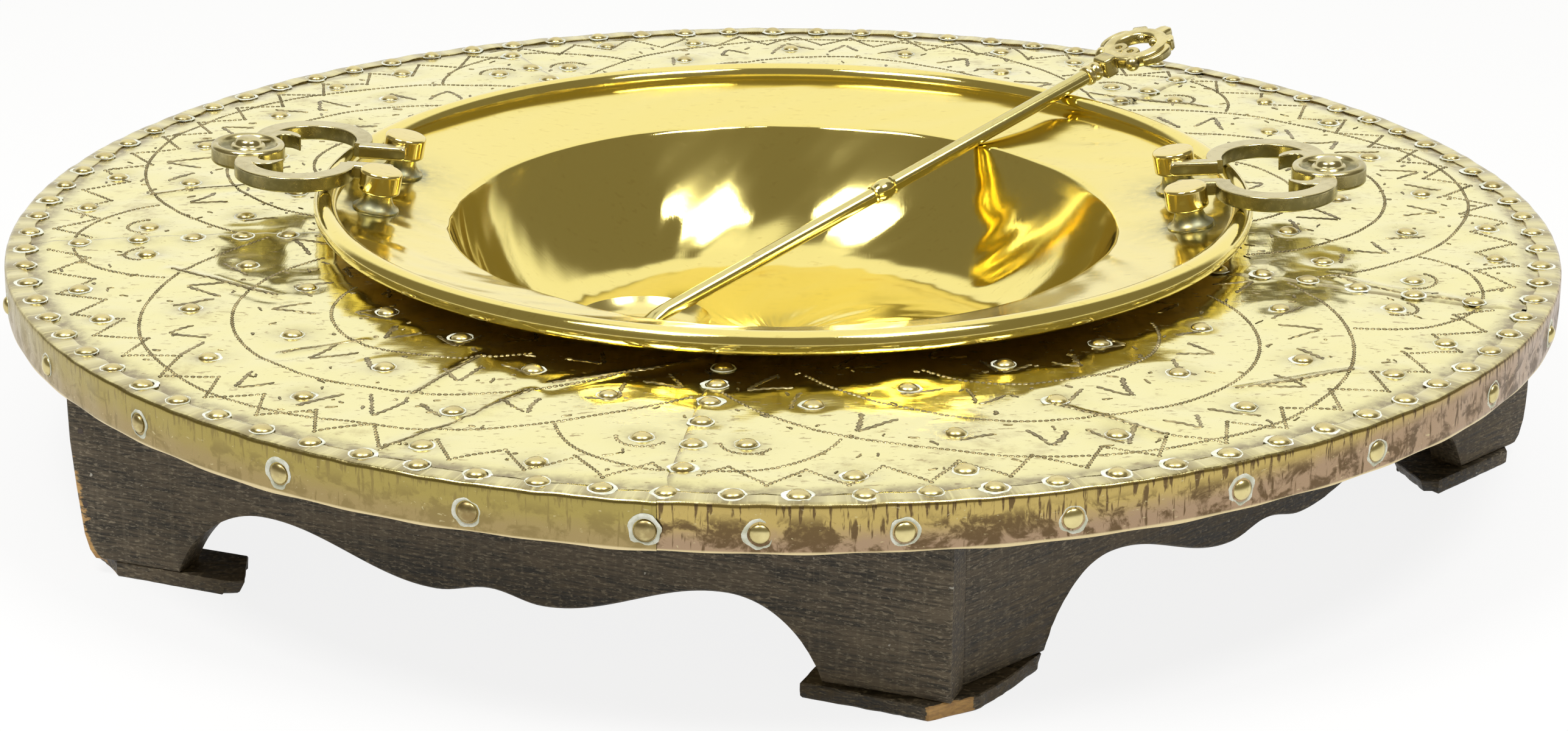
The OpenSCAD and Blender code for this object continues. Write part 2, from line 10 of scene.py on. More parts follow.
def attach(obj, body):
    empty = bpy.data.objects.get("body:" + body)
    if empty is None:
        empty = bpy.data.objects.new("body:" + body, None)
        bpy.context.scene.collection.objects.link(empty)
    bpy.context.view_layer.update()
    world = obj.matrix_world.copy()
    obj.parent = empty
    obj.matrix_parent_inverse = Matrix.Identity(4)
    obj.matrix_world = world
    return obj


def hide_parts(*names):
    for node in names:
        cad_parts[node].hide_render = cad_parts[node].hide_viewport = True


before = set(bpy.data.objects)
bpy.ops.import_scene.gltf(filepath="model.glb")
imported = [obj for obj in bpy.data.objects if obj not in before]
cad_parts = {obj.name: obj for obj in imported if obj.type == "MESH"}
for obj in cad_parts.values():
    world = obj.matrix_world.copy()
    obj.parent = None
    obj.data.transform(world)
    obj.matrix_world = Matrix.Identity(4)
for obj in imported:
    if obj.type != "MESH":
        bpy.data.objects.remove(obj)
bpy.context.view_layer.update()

MM = 0.001

# Sizes of the pieces in millimetres, as in the part's construction
TOP_R = 475.0
STAND_H = 137.0
SHEET_TOP = 136.2
SHEET_IN = 217.0
FLANGE_IN = 461.0
BAND_H = 27.0
BAND_JOINT = 263.5
BAND_NAIL_Z = 121.0
SEAMS = [50.5, 118.4, 189.3, 264.3, 339.5]
SECTOR_MIDS = [(a + b) / 2 for a, b in zip(SEAMS, SEAMS[1:] + [SEAMS[0] + 360])]
LOBE_R = 253.0
CORNERS = [(281.3, 437.0), (354.8, 463.0), (67.0, 455.0), (140.0, 455.0), (213.0, 466.0)]
APRON_T = 22.0
LAP_OVER = 0.3
APRON_TOP = 111.4
SHOE_T = 9.0
SHOE_IN = 14.0
SHOE_HEEL = 72.0
SHOE_TOE = 87.0
SHOE_LONG = 101.0
SHOE_OUT = 3.5
END_CUT = 8.0
SIDE_CUT = 20.0
FACET_IN = 7.0
FACET_OUT = 12.5
FACET_L = 23.0
ARCH_REACH = 193.0
FRONT_SHIFT = 12.0
MOUTH_R = 208.0
MOUTH_Z = 136.857
BOWL_D = 82.0
BOWL_FILLET = 40.0
WALL_SLOPE = math.radians(58)
RIM_SLOPE = math.radians(11.2)
LIP_R = 5.0
PAN_T = 2.0
ROLL_R = 283.0
ROLL_OR = 7.0
ROLL_Z = MOUTH_Z + (ROLL_R - MOUTH_R) * math.tan(RIM_SLOPE) + 1.4
PIVOT_R = 246.0
PIVOT_H = 18.5
PIVOT_Z = 163.84
REST_TILT = 2.639
STUD_HALF = 39.0
LEFT_DIR = 176.0
RIGHT_DIR = 0.5
ROD_DIR = 35.5
ROD_OFF = 60.0
ROD_R = 5.2
ROD_SLOPE = 17.105
ROD_END_S = -49.149
ROD_END_Z = 66.057
ROD_L = 355.437
BLADE_R = 44.0
BLADE_Z = 55.257
NAIL_R = 5.5
NAIL_H = 2.8


def polar(degrees, r):
    """Point in plan at a direction and distance."""
    a = math.radians(degrees)
    return np.array([r * math.cos(a), r * math.sin(a)])


# Places of the nails, the same as in the construction
FLANGE_SPOTS = [polar((i + 0.5) * 360 / 88, FLANGE_IN + 2) for i in range(88)]
SEAM_SPOTS = [polar(a, r) for a in SEAMS for r in (279, 306, 333, 363, 396, 431)]
FLANK_SPOTS = [polar(a + 4 * s, 391) for a in SEAMS for s in (-1, 1)]
BORDER_SPOTS = [polar(a + s, 436) for a in SEAMS for s in (-18.5, -10, 11.5, 19)]
ARC_SPOTS = [
    polar(m, LOBE_R) + polar(m + (k - (n - 1) / 2) * pitch, r)
    for n, pitch, r in ((2, 80, 50), (4, 44, 108), (6, 30, 163))
    for m in SECTOR_MIDS
    for k in range(n)
]
FIELD_SPOTS = FLANK_SPOTS + BORDER_SPOTS + ARC_SPOTS
FRONT_NAILS = [224.5, 237.9, 251.6, 269.7, 278.4, 288.9, 300.7, 312.3, 326.6]
BACK_STEP = (FRONT_NAILS[0] + 360 - FRONT_NAILS[-1]) / 19
BAND_DIRS = FRONT_NAILS + [BAND_JOINT - 0.7] + [FRONT_NAILS[-1] + k * BACK_STEP for k in range(1, 19)]


# Materials


def link(tree, a, b):
    tree.links.new(a, b)


def math_node(tree, operation, a, b=None):
    n = tree.nodes.new("ShaderNodeMath")
    n.operation = operation
    for socket, value in zip(n.inputs, (a, b)):
        if value is None:
            continue
        if isinstance(value, (int, float)):
            socket.default_value = value
        else:
            link(tree, value, socket)
    return n.outputs[0]


def mapped(tree, value, low, high, to_low=0.0, to_high=1.0):
    """Smooth step of a value between two limits."""
    n = tree.nodes.new("ShaderNodeMapRange")
    n.interpolation_type = "SMOOTHSTEP"
    link(tree, value, n.inputs["Value"])
    n.inputs["From Min"].default_value = low
    n.inputs["From Max"].default_value = high
    n.inputs["To Min"].default_value = to_low
    n.inputs["To Max"].default_value = to_high
    return n.outputs["Result"]


def noise(tree, vector, scale, detail=4.0, rough=0.55, distortion=0.0):
    n = tree.nodes.new("ShaderNodeTexNoise")
    link(tree, vector, n.inputs["Vector"])
    n.inputs["Scale"].default_value = scale
    n.inputs["Detail"].default_value = detail
    n.inputs["Roughness"].default_value = rough
    n.inputs["Distortion"].default_value = distortion
    return n.outputs["Fac"]


def stretched(tree, vector, x, y, z):
    n = tree.nodes.new("ShaderNodeMapping")
    link(tree, vector, n.inputs["Vector"])
    n.inputs["Scale"].default_value = (x, y, z)
    return n.outputs["Vector"]


def mixed(tree, factor, a, b):
    """Mix of two colours; each is a colour or a socket."""
    n = tree.nodes.new("ShaderNodeMix")
    n.data_type = "RGBA"
    link(tree, factor, n.inputs["Factor"])
    for socket, value in ((n.inputs[6], a), (n.inputs[7], b)):
        if isinstance(value, tuple):
            socket.default_value = (*value, 1.0)
        else:
            link(tree, value, socket)
    return n.outputs[2]


def effect(name, inputs, outputs):
    """Empty node group with float or vector inputs and its two end nodes."""
    tree = bpy.data.node_groups.new(name, "ShaderNodeTree")
    for label, kind, value in inputs:
        s = tree.interface.new_socket(name=label, in_out="INPUT", socket_type="NodeSocket" + kind)
        if value is not None:
            s.default_value = value
    for label, kind in outputs:
        tree.interface.new_socket(name=label, in_out="OUTPUT", socket_type="NodeSocket" + kind)
    return tree, tree.nodes.new("NodeGroupInput").outputs, tree.nodes.new("NodeGroupOutput").inputs


def make_tarnish():
    """Patches of tarnish in two sizes, as one mask."""
    tree, given, out = effect(
        "Tarnish patches",
        [("Vector", "Vector", None), ("Spread", "Float", 0.5)],
        [("Mask", "Float"), ("Specks", "Float")],
    )
    broad = noise(tree, given["Vector"], 14, 5, 0.6, 0.4)
    fine = noise(tree, given["Vector"], 95, 4, 0.65)
    both = math_node(tree, "ADD", math_node(tree, "MULTIPLY", broad, 0.62), math_node(tree, "MULTIPLY", fine, 0.38))
    level = math_node(tree, "ADD", both, math_node(tree, "SUBTRACT", given["Spread"], 0.5))
    link(tree, mapped(tree, level, 0.46, 0.62), out["Mask"])
    ticks = stretched(tree, given["Vector"], 130, 330, 200)
    link(tree, mapped(tree, noise(tree, ticks, 1.0, 3, 0.6), 0.61, 0.68), out["Specks"])
    return tree


def make_handwork():
    """Height of polishing scratches and small hammer marks."""
    tree, given, out = effect("Handwork", [("Vector", "Vector", None)], [("Height", "Float")])
    scratch_a = noise(tree, stretched(tree, given["Vector"], 900, 60, 60), 1.0, 2, 0.5)
    scratch_b = noise(tree, stretched(tree, given["Vector"], 70, 800, 70), 1.0, 2, 0.5)
    hammer = noise(tree, given["Vector"], 60, 2, 0.4)
    fine = math_node(tree, "MULTIPLY", math_node(tree, "ADD", scratch_a, scratch_b), 0.16)
    link(tree, math_node(tree, "ADD", fine, hammer), out["Height"])
    return tree


TARNISH = make_tarnish()
HANDWORK = make_handwork()


def use(tree, group):
    n = tree.nodes.new("ShaderNodeGroup")
    n.node_tree = group
    return n


def fresh(name):
    """Material with only an output and a Principled shader."""
    mat = bpy.data.materials.new(name)
    mat.use_nodes = True
    tree = mat.node_tree
    tree.nodes.clear()
    out = tree.nodes.new("ShaderNodeOutputMaterial")
    shader = tree.nodes.new("ShaderNodeBsdfPrincipled")
    link(tree, shader.outputs[0], out.inputs["Surface"])
    return mat, tree, shader


def place(tree):
    """Position on the piece itself, in metres."""
    return tree.nodes.new("ShaderNodeTexCoord").outputs["Object"]


def attribute(tree, name):
    """Values painted on a piece's points."""
    n = tree.nodes.new("ShaderNodeAttribute")
    n.attribute_name = name
    return n.outputs["Fac"]


def bumped(tree, shader, height, strength, distance=0.0006):
    """Joins a height to a shader's normal."""
    n = tree.nodes.new("ShaderNodeBump")
    n.inputs["Strength"].default_value = strength
    n.inputs["Distance"].default_value = distance
    link(tree, height, n.inputs["Height"])
    link(tree, n.outputs["Normal"], shader.inputs["Normal"])


def marked(tree, shader, where, strength):
    """Gives a shader the marks of handwork."""
    marks = use(tree, HANDWORK)
    link(tree, where, marks.inputs["Vector"])
    bumped(tree, shader, marks.outputs["Height"], strength)


def brass(name, bright, dull, rough, spread, bump=0.0, specks=0.35, depth=1.0, dirt_and_shade=None, spun=0.0):
    """Polished brass with tarnish patches.

    rough has two values, for bright and dull places; dirt_and_shade is the colour of the painted grime and painted
    shade.
    spun draws the highlights out across the turning marks of a piece that is round about Z.
    """
    mat, tree, shader = fresh(name)
    where = place(tree)
    patches = use(tree, TARNISH)
    link(tree, where, patches.inputs["Vector"])
    patches.inputs["Spread"].default_value = spread
    mask = math_node(tree, "MULTIPLY", patches.outputs["Mask"], depth)
    mask = math_node(tree, "MAXIMUM", mask, math_node(tree, "MULTIPLY", patches.outputs["Specks"], specks))
    colour = mixed(tree, mask, bright, dull)
    if dirt_and_shade:
        # The grime_and_shade attribute paints grime and painted shade in the dirt_and_shade colour, and dulls those
        # places.
        uneven = mapped(tree, noise(tree, where, 120, 4, 0.6), 0.3, 0.62, 0.35, 1.0)
        painted = math_node(tree, "MULTIPLY", attribute(tree, "grime_and_shade"), uneven)
        colour = mixed(tree, painted, colour, dirt_and_shade)
        mask = math_node(tree, "MAXIMUM", mask, painted)
    link(tree, colour, shader.inputs["Base Color"])
    shader.inputs["Metallic"].default_value = 1.0
    added = math_node(tree, "MULTIPLY", mask, rough[1] - rough[0])
    link(tree, math_node(tree, "ADD", added, rough[0]), shader.inputs["Roughness"])
    if spun:
        n = tree.nodes.new("ShaderNodeTangent")
        n.direction_type, n.axis = "RADIAL", "Z"
        link(tree, n.outputs["Tangent"], shader.inputs["Tangent"])
        shader.inputs["Anisotropic"].default_value = spun
        shader.inputs["Anisotropic Rotation"].default_value = 0.25
    if bump:
        marked(tree, shader, where, bump)
    return mat


VERDIGRIS = (0.27, 0.27, 0.17)
sheet_brass = brass(
    "Top sheet brass", (0.95, 0.885, 0.455), (0.5, 0.4, 0.19), rough=(0.1, 0.3), spread=0.42, bump=0.35,
    specks=0.9, depth=0.62, dirt_and_shade=(0.34, 0.28, 0.16),
)
punch_brass = brass(
    "Punched brass", (0.62, 0.52, 0.27), (0.4, 0.32, 0.15), rough=(0.25, 0.42), spread=0.5,
    depth=0.6, dirt_and_shade=(0.11, 0.085, 0.035),
)
nail_brass = brass(
    "Nail brass", (0.86, 0.75, 0.36), (0.52, 0.42, 0.17), rough=(0.27, 0.42), spread=0.46,
    depth=0.6, dirt_and_shade=(0.28, 0.19, 0.075),
)
pan_brass = brass(
    "Pan brass", (0.95, 0.81, 0.28), (0.74, 0.56, 0.15), rough=(0.1, 0.2), spread=0.36, bump=0.1,
    specks=0.25, depth=0.8, dirt_and_shade=VERDIGRIS, spun=0.9,
)
underside_brass = brass(
    "Pan underside brass", (0.85, 0.62, 0.22), (0.55, 0.38, 0.12), rough=(0.45, 0.6), spread=0.5, bump=0.4
)
stud_brass = brass(
    "Stud brass", (0.88, 0.74, 0.31), (0.5, 0.4, 0.15), rough=(0.14, 0.45), spread=0.44, bump=0.08,
    specks=0.3, depth=0.7, dirt_and_shade=VERDIGRIS,
)
handle_brass = brass(
    "Handle brass", (0.68, 0.6, 0.32), (0.42, 0.36, 0.16), rough=(0.18, 0.36), spread=0.48, bump=0.2,
    specks=0.4, depth=0.7, dirt_and_shade=(0.24, 0.22, 0.1),
)
rod_brass = brass("Rod brass", (0.74, 0.65, 0.27), (0.5, 0.4, 0.15), rough=(0.17, 0.3), spread=0.4, bump=0.1)
finial_brass = brass(
    "Finial brass", (0.84, 0.73, 0.35), (0.5, 0.42, 0.19), rough=(0.19, 0.38), spread=0.48, bump=0.2,
    specks=0.4, depth=0.7, dirt_and_shade=(0.2, 0.165, 0.07),
)
blade_brass = brass("Blade brass", (0.93, 0.8, 0.33), (0.6, 0.48, 0.2), rough=(0.2, 0.34), spread=0.4, bump=0.2)


BAND_ROUGH, FLANGE_ROUGH = 0.27, 0.13


def make_band(name, upper, lower, stain, runs):
    """Band brass with tarnish that runs down from its top edge; its flange is as pale as the sheets.

    runs is the strength of the tarnish.
    """
    mat, tree, shader = fresh(name)
    n = tree.nodes.new("ShaderNodeAttribute")
    n.attribute_name = "wrap"
    wrap = n.outputs["Vector"]
    height = tree.nodes.new("ShaderNodeSeparateXYZ")
    link(tree, wrap, height.inputs[0])
    up = height.outputs["Y"]
    streaks = noise(tree, stretched(tree, wrap, 330, 46, 1), 1.0, 3, 0.6, 0.3)
    blots = noise(tree, stretched(tree, wrap, 52, 62, 1), 1.0, 5, 0.66, 0.5)
    fine = noise(tree, stretched(tree, wrap, 260, 300, 1), 1.0, 4, 0.62)
    near_top = mapped(tree, up, 0.118, 0.136)
    run = math_node(tree, "ADD", streaks, math_node(tree, "MULTIPLY", near_top, 0.07))
    run = mapped(tree, run, 0.58, 0.66)
    blot = math_node(tree, "MULTIPLY", mapped(tree, blots, 0.47, 0.58), mapped(tree, up, 0.134, 0.124))
    mask = math_node(tree, "MULTIPLY", math_node(tree, "MAXIMUM", run, blot), runs)
    mask = math_node(tree, "MULTIPLY", mask, mapped(tree, fine, 0.25, 0.5, 0.55, 1.0))
    lowered = math_node(tree, "MULTIPLY", mapped(tree, height.outputs["X"], 2.35, 2.75), 0.016)
    tone = math_node(tree, "ADD", math_node(tree, "SUBTRACT", up, lowered), math_node(tree, "MULTIPLY", blots, 0.012))
    side = mixed(tree, mapped(tree, tone, 0.134, 0.12), upper, lower)
    side = mixed(tree, mask, side, stain)
    side = mixed(tree, mapped(tree, up, 0.1118, 0.1106), side, (0.78, 0.64, 0.36))
    scratch = mapped(tree, noise(tree, stretched(tree, wrap, 190, 420, 1), 1.0, 3, 0.6, 0.6), 0.66, 0.71)
    side = mixed(tree, math_node(tree, "MULTIPLY", scratch, 0.6), side, (0.72, 0.62, 0.34))
    flat = attribute(tree, "flat")
    # The flange top is darkened round its nails and by painted shade along its cut edge.
    fouled_and_shaded = math_node(tree, "MULTIPLY", attribute(tree, "grime_and_shade"), mapped(tree, fine, 0.27, 0.52))
    top = mixed(tree, fouled_and_shaded, (0.9, 0.82, 0.42), (0.3, 0.24, 0.12))
    link(tree, mixed(tree, flat, side, top), shader.inputs["Base Color"])
    shader.inputs["Metallic"].default_value = 1.0
    dulled = math_node(tree, "ADD", math_node(tree, "MULTIPLY", mask, 0.14), BAND_ROUGH)
    polish = math_node(tree, "MULTIPLY", flat, BAND_ROUGH - FLANGE_ROUGH)
    dulled = math_node(tree, "SUBTRACT", dulled, polish)
    link(tree, dulled, shader.inputs["Roughness"])
    marked(tree, shader, place(tree), 0.4)
    return mat


band_left_brass = make_band(
    "Left band brass", upper=(0.42, 0.335, 0.1), lower=(0.4, 0.3, 0.13), stain=(0.27, 0.2, 0.075), runs=0.6
)
band_right_brass = make_band(
    "Right band brass", upper=(0.56, 0.42, 0.14), lower=(0.42, 0.29, 0.18), stain=(0.15, 0.095, 0.045), runs=0.92
)


def make_residue():
    """Dried polish left round the nails."""
    mat, tree, shader = fresh("Polish residue")
    where = place(tree)
    tone = mapped(tree, noise(tree, where, 160, 4, 0.6), 0.35, 0.65)
    link(tree, mixed(tree, tone, (0.62, 0.64, 0.5), (0.86, 0.88, 0.8)), shader.inputs["Base Color"])
    shader.inputs["Roughness"].default_value = 0.75
    return mat


residue = make_residue()


def make_wood(name, dark, light, flecks):
    """Stained wood with fine grain along the piece and raw places where it is worn."""
    mat, tree, shader = fresh(name)
    where = place(tree)
    grain = noise(tree, stretched(tree, where, 48, 420, 640), 1.0, 5, 0.62, 0.25)
    broad = noise(tree, stretched(tree, where, 7, 30, 46), 1.0, 4, 0.55)
    both = math_node(tree, "ADD", math_node(tree, "MULTIPLY", grain, 0.62), math_node(tree, "MULTIPLY", broad, 0.38))
    tone = mapped(tree, both, 0.38, 0.63)
    stained = mixed(tree, tone, dark, light)
    scuff = mapped(tree, noise(tree, stretched(tree, where, 90, 260, 380), 1.0, 3, 0.6), 0.65, 0.72)
    stained = mixed(tree, math_node(tree, "MULTIPLY", scuff, 0.4), stained, (0.24, 0.19, 0.13))
    weave = noise(tree, stretched(tree, where, 240, 300, 760), 1.0, 3, 0.7, 0.4)
    stained = mixed(tree, math_node(tree, "MULTIPLY", mapped(tree, weave, 0.53, 0.64), 0.55), stained, flecks)
    down = mapped(tree, noise(tree, stretched(tree, where, 320, 300, 14), 1.0, 3, 0.6), 0.5, 0.66)
    stained = mixed(tree, math_node(tree, "MULTIPLY", down, 0.1), stained, flecks)
    chips = mapped(tree, noise(tree, where, 210, 2, 0.5), 0.73, 0.76)
    stained = mixed(tree, math_node(tree, "MULTIPLY", chips, 0.8), stained, (0.6, 0.58, 0.52))
    raw = attribute(tree, "raw")
    ragged = math_node(tree, "SUBTRACT", noise(tree, stretched(tree, where, 90, 160, 260), 1.0, 4, 0.65), 0.5)
    edge = math_node(tree, "ADD", raw, math_node(tree, "MULTIPLY", ragged, 1.5))
    worn = math_node(tree, "MULTIPLY", mapped(tree, edge, 0.52, 0.7), mapped(tree, raw, 0.05, 0.3))
    fibre = mixed(tree, mapped(tree, grain, 0.35, 0.65), (0.5, 0.29, 0.12), (0.72, 0.45, 0.18))
    link(tree, mixed(tree, worn, stained, fibre), shader.inputs["Base Color"])
    link(tree, mapped(tree, tone, 0, 1, 0.48, 0.68), shader.inputs["Roughness"])
    shader.inputs["Specular IOR Level"].default_value = 0.32
    bumped(tree, shader, grain, 0.6, 0.0007)
    return mat


apron_wood = make_wood("Apron wood", (0.02, 0.017, 0.011), (0.165, 0.132, 0.092), (0.4, 0.34, 0.245))
top_wood = make_wood("Top wood", (0.05, 0.033, 0.022), (0.12, 0.085, 0.055), (0.16, 0.12, 0.08))


def make_plain(name, colour, rough, metallic):
    mat, _, shader = fresh(name)
    shader.inputs["Base Color"].default_value = (*colour, 1.0)
    shader.inputs["Roughness"].default_value = rough
    shader.inputs["Metallic"].default_value = metallic
    return mat


iron = make_plain("Iron", (0.12, 0.1, 0.09), 0.6, 1.0)


# Mesh building


def piece(name, verts, faces, body, material, replaces=(), sharp=38, matrix=None, paint=None, under=None):
    """New piece in millimetres that rides on a body.

    paint holds values per point by name; under is a second material and the first face that has it.
    """
    mesh = bpy.data.meshes.new(name)
    mesh.from_pydata((np.asarray(verts, float) * MM).tolist(), [], faces)
    mesh.polygons.foreach_set("use_smooth", [True] * len(mesh.polygons))
    mesh.set_sharp_from_angle(angle=math.radians(sharp))
    for label, values in (paint or {}).items():
        values = np.asarray(values, np.float32)
        kind = "FLOAT" if values.ndim == 1 else "FLOAT_VECTOR"
        a = mesh.attributes.new(label, kind, "POINT")
        a.data.foreach_set("value" if kind == "FLOAT" else "vector", values.ravel())
    mesh.materials.append(material)
    if under:
        mesh.materials.append(under[0])
        mesh.polygons.foreach_set("material_index", [int(k >= under[1]) for k in range(len(faces))])
    obj = bpy.data.objects.new(name, mesh)
    bpy.context.scene.collection.objects.link(obj)
    if matrix is not None:
        obj.matrix_world = matrix
    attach(obj, body)
    if replaces:
        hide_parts(*replaces)


def place_at(x, y, turn=0.0):
    """Matrix in millimetres: turn about Z, then move along the floor."""
    return Matrix.Translation(Vector((x, y, 0)) * MM) @ Matrix.Rotation(math.radians(turn), 4, "Z")


def turned(profile, count=64):
    """Solid of revolution about Z from (radius, height) points; ends on the axis are closed to a point."""
    profile = np.asarray(profile, float)
    angles = np.linspace(0, 2 * math.pi, count, endpoint=False)
    verts, rows = [], []
    for r, z in profile:
        if r < 1e-6:
            rows.append([len(verts)] * count)
            verts.append((0, 0, z))
        else:
            rows.append(list(range(len(verts), len(verts) + count)))
            verts += [(r * math.cos(a), r * math.sin(a), z) for a in angles]
    faces = []
    for lower, upper in zip(rows, rows[1:]):
        for k in range(count):
            j = (k + 1) % count
            loop = [lower[k], lower[j], upper[j], upper[k]]
            faces.append(list(dict.fromkeys(loop)))
    return verts, faces


def arc(cx, cz, r, a0, a1, n):
    """Points of an arc in a profile, degrees."""
    return [(cx + r * math.cos(math.radians(a)), cz + r * math.sin(math.radians(a))) for a in np.linspace(a0, a1, n)]


def grid_faces(rows, cols, wrap=False):
    faces = []
    last = cols if wrap else cols - 1
    for i in range(rows - 1):
        for j in range(last):
            k = (j + 1) % cols
            faces.append([i * cols + j, i * cols + k, (i + 1) * cols + k, (i + 1) * cols + j])
    return faces


def rounded_section(w, h, r, n=3):
    """Rounded rectangle round the origin, as (side, up) points, with a point on each flat beside its corners."""
    pts = []
    beside = 0.4 * r
    for sx, sy, a0 in ((1, 1, 0), (-1, 1, 90), (-1, -1, 180), (1, -1, 270)):
        corner = arc(sx * (w / 2 - r), sy * (h / 2 - r), r, a0, a0 + 90, n + 1)
        first, last = math.radians(a0), math.radians(a0 + 90)
        pts.append((corner[0][0] + beside * math.sin(first), corner[0][1] - beside * math.cos(first)))
        pts += corner
        pts.append((corner[-1][0] - beside * math.sin(last), corner[-1][1] + beside * math.cos(last)))
    return np.array(pts)


def swept(path, section, scales=None):
    """Bar along a path in space with a section of (side, up) points, closed at both ends."""
    path = np.asarray(path, float)
    up = np.array((0.0, 0.0, 1.0))
    tangent = np.gradient(path, axis=0)
    verts, n = [], len(section)
    for i, (p, t) in enumerate(zip(path, tangent)):
        t = t / np.linalg.norm(t)
        side = np.cross(t, up)
        side /= np.linalg.norm(side)
        above = np.cross(side, t)
        s = (1.0, 1.0) if scales is None else scales[i]
        verts += [tuple(p + side * a * s[0] + above * b * s[1]) for a, b in section]
    faces = grid_faces(len(path), n, wrap=True)
    faces.append(list(range(n))[::-1])
    faces.append([(len(path) - 1) * n + k for k in range(n)])
    return verts, faces


def joined(parts):
    """Several (verts, faces) as one."""
    verts, faces = [], []
    for v, f in parts:
        base = len(verts)
        verts += [tuple(p) for p in v]
        faces += [[base + i for i in loop] for loop in f]
    return verts, faces


def moved(part, matrix):
    """Part with a 4x4 matrix in millimetres applied to its points."""
    m = np.array(matrix)
    v = np.asarray(part[0], float) @ m[:3, :3].T + m[:3, 3]
    return [tuple(p) for p in v], part[1]


def strewn(part, places):
    """Copies of a part at 4x4 places in millimetres, as one."""
    base, loops = np.asarray(part[0], float), part[1]
    verts = np.concatenate([base @ m[:3, :3].T + m[:3, 3] for m in places])
    faces = [[k * len(base) + i for i in loop] for k in range(len(places)) for loop in loops]
    return verts, faces


def standing(origin, up, size=1.0, height=1.0):
    """4x4 place in millimetres with its Z axis along up."""
    up = np.asarray(up, float) / np.linalg.norm(up)
    side = np.cross((1.0, 0.0, 0.0) if abs(up[2]) > 0.7 else (0.0, 0.0, 1.0), up)
    side /= np.linalg.norm(side)
    m = np.eye(4)
    m[:3, 0] = side * size
    m[:3, 1] = np.cross(up, side) * size
    m[:3, 2] = up * height
    m[:3, 3] = origin
    return m


def lying(x, y, z, turn, long, wide):
    """4x4 place in millimetres flat on a sheet, its X axis along a direction."""
    c, s = math.cos(math.radians(turn)), math.sin(math.radians(turn))
    return np.array([[c * long, -s * wide, 0, x], [s * long, c * wide, 0, y], [0, 0, 1, z], [0, 0, 0, 1]])


def smooth(value, low, high):
    """Smooth step of an array between two limits."""
    t = np.clip((np.asarray(value, float) - low) / (high - low), 0, 1)
    return t * t * (3 - 2 * t)


# Uneven surface of the nailed sheets

LAP = 6.0
LAP_SLOPE_L = 16.0
AT_OPENING = (219, 262)
UNDER_FLANGE = (444, 458)
BOARD_DIP = 0.65
hand = np.random.default_rng(7)
DENTS = [
    (hand.uniform(0, 2 * math.pi), hand.uniform(low, high), hand.uniform(0, 2 * math.pi), slope)
    for count, low, high, slope in ((24, 34, 150, 0.0115), (20, 9, 26, 0.005))
    for _ in range(count)
]
CREASES = [
    ((-161, -264), (-193, -324)),
    ((-129, -319), (-161, -359)),
    ((-161, -359), (-200, -407)),
    ((-272, -262), (-230, -238)),
    ((-119, -307), (-40, -264)),
    ((-360, -120), (-290, -165)),
    ((-402, 30), (-330, 60)),
    ((250, -300), (318, -270)),
    ((150, -330), (205, -372)),
    ((330, -110), (402, -150)),
    ((-120, 330), (-40, 372)),
    ((210, 300), (290, 262)),
]
TOP_SPOTS = SEAM_SPOTS + FIELD_SPOTS


def to_segment(x, y, a, b):
    """Distance in plan from points to a line between two points."""
    ux, uy = b[0] - a[0], b[1] - a[1]
    t = np.clip(((x - a[0]) * ux + (y - a[1]) * uy) / (ux * ux + uy * uy), 0, 1)
    return np.hypot(x - a[0] - t * ux, y - a[1] - t * uy)


def nearest(x, y, spots):
    """Distance in plan from points to the nearest of some spots."""
    d = np.full(np.shape(x), 1e9)
    for sx, sy in spots:
        d = np.minimum(d, np.hypot(x - sx, y - sy))
    return d


def sheet_height(x, y):
    """Height of the hammered and nailed sheets over their plane; its dips end on the boards below."""
    r = np.hypot(x, y)
    z = np.zeros(np.shape(x))
    for turn, length, phase, slope in DENTS:
        k = 2 * math.pi / length
        z = z + slope / k * np.sin(k * (x * math.cos(turn) + y * math.sin(turn)) + phase)
    for a, b in CREASES:
        d = to_segment(x, y, a, b)
        z = z + 0.8 * np.exp(-((d / 3.2) ** 2)) - 0.3 * np.exp(-(((d - 9) / 5) ** 2))
    near = nearest(x, y, TOP_SPOTS)
    z = z + 0.4 - 0.7 * np.exp(-((near / 8) ** 2)) + 0.2 * np.exp(-(((near - 16) / 5) ** 2))
    z = z * smooth(r, *AT_OPENING) * (1 - smooth(r, *UNDER_FLANGE)) + BOARD_DIP
    return (z + np.sqrt(z * z + 0.08)) / 2 - BOARD_DIP


def seam_side(x, y, seam):
    """Distance across a seam, positive on the side of the sheet that laps over, and along it."""
    a = math.radians(seam)
    return y * math.cos(a) - x * math.sin(a), x * math.cos(a) + y * math.sin(a)


def lap_rise(x, y, seam):
    """How far a sheet rises to lap over its neighbour at a seam."""
    across, along = seam_side(x, y, seam)
    rise = 0.85 * (1 - smooth(across, 0, LAP_SLOPE_L))
    lapped = (along > 0) & (across > -LAP - 0.5) & (across < LAP_SLOPE_L)
    return np.where(lapped, rise, 0) * (1 - smooth(np.hypot(x, y), *UNDER_FLANGE))


def sheet_z(x, y):
    """Height of the sheets' upper face above the floor, laps included."""
    x, y = np.asarray(x, float), np.asarray(y, float)
    return SHEET_TOP + sheet_height(x, y) + sum(lap_rise(x, y, a) for a in SEAMS)


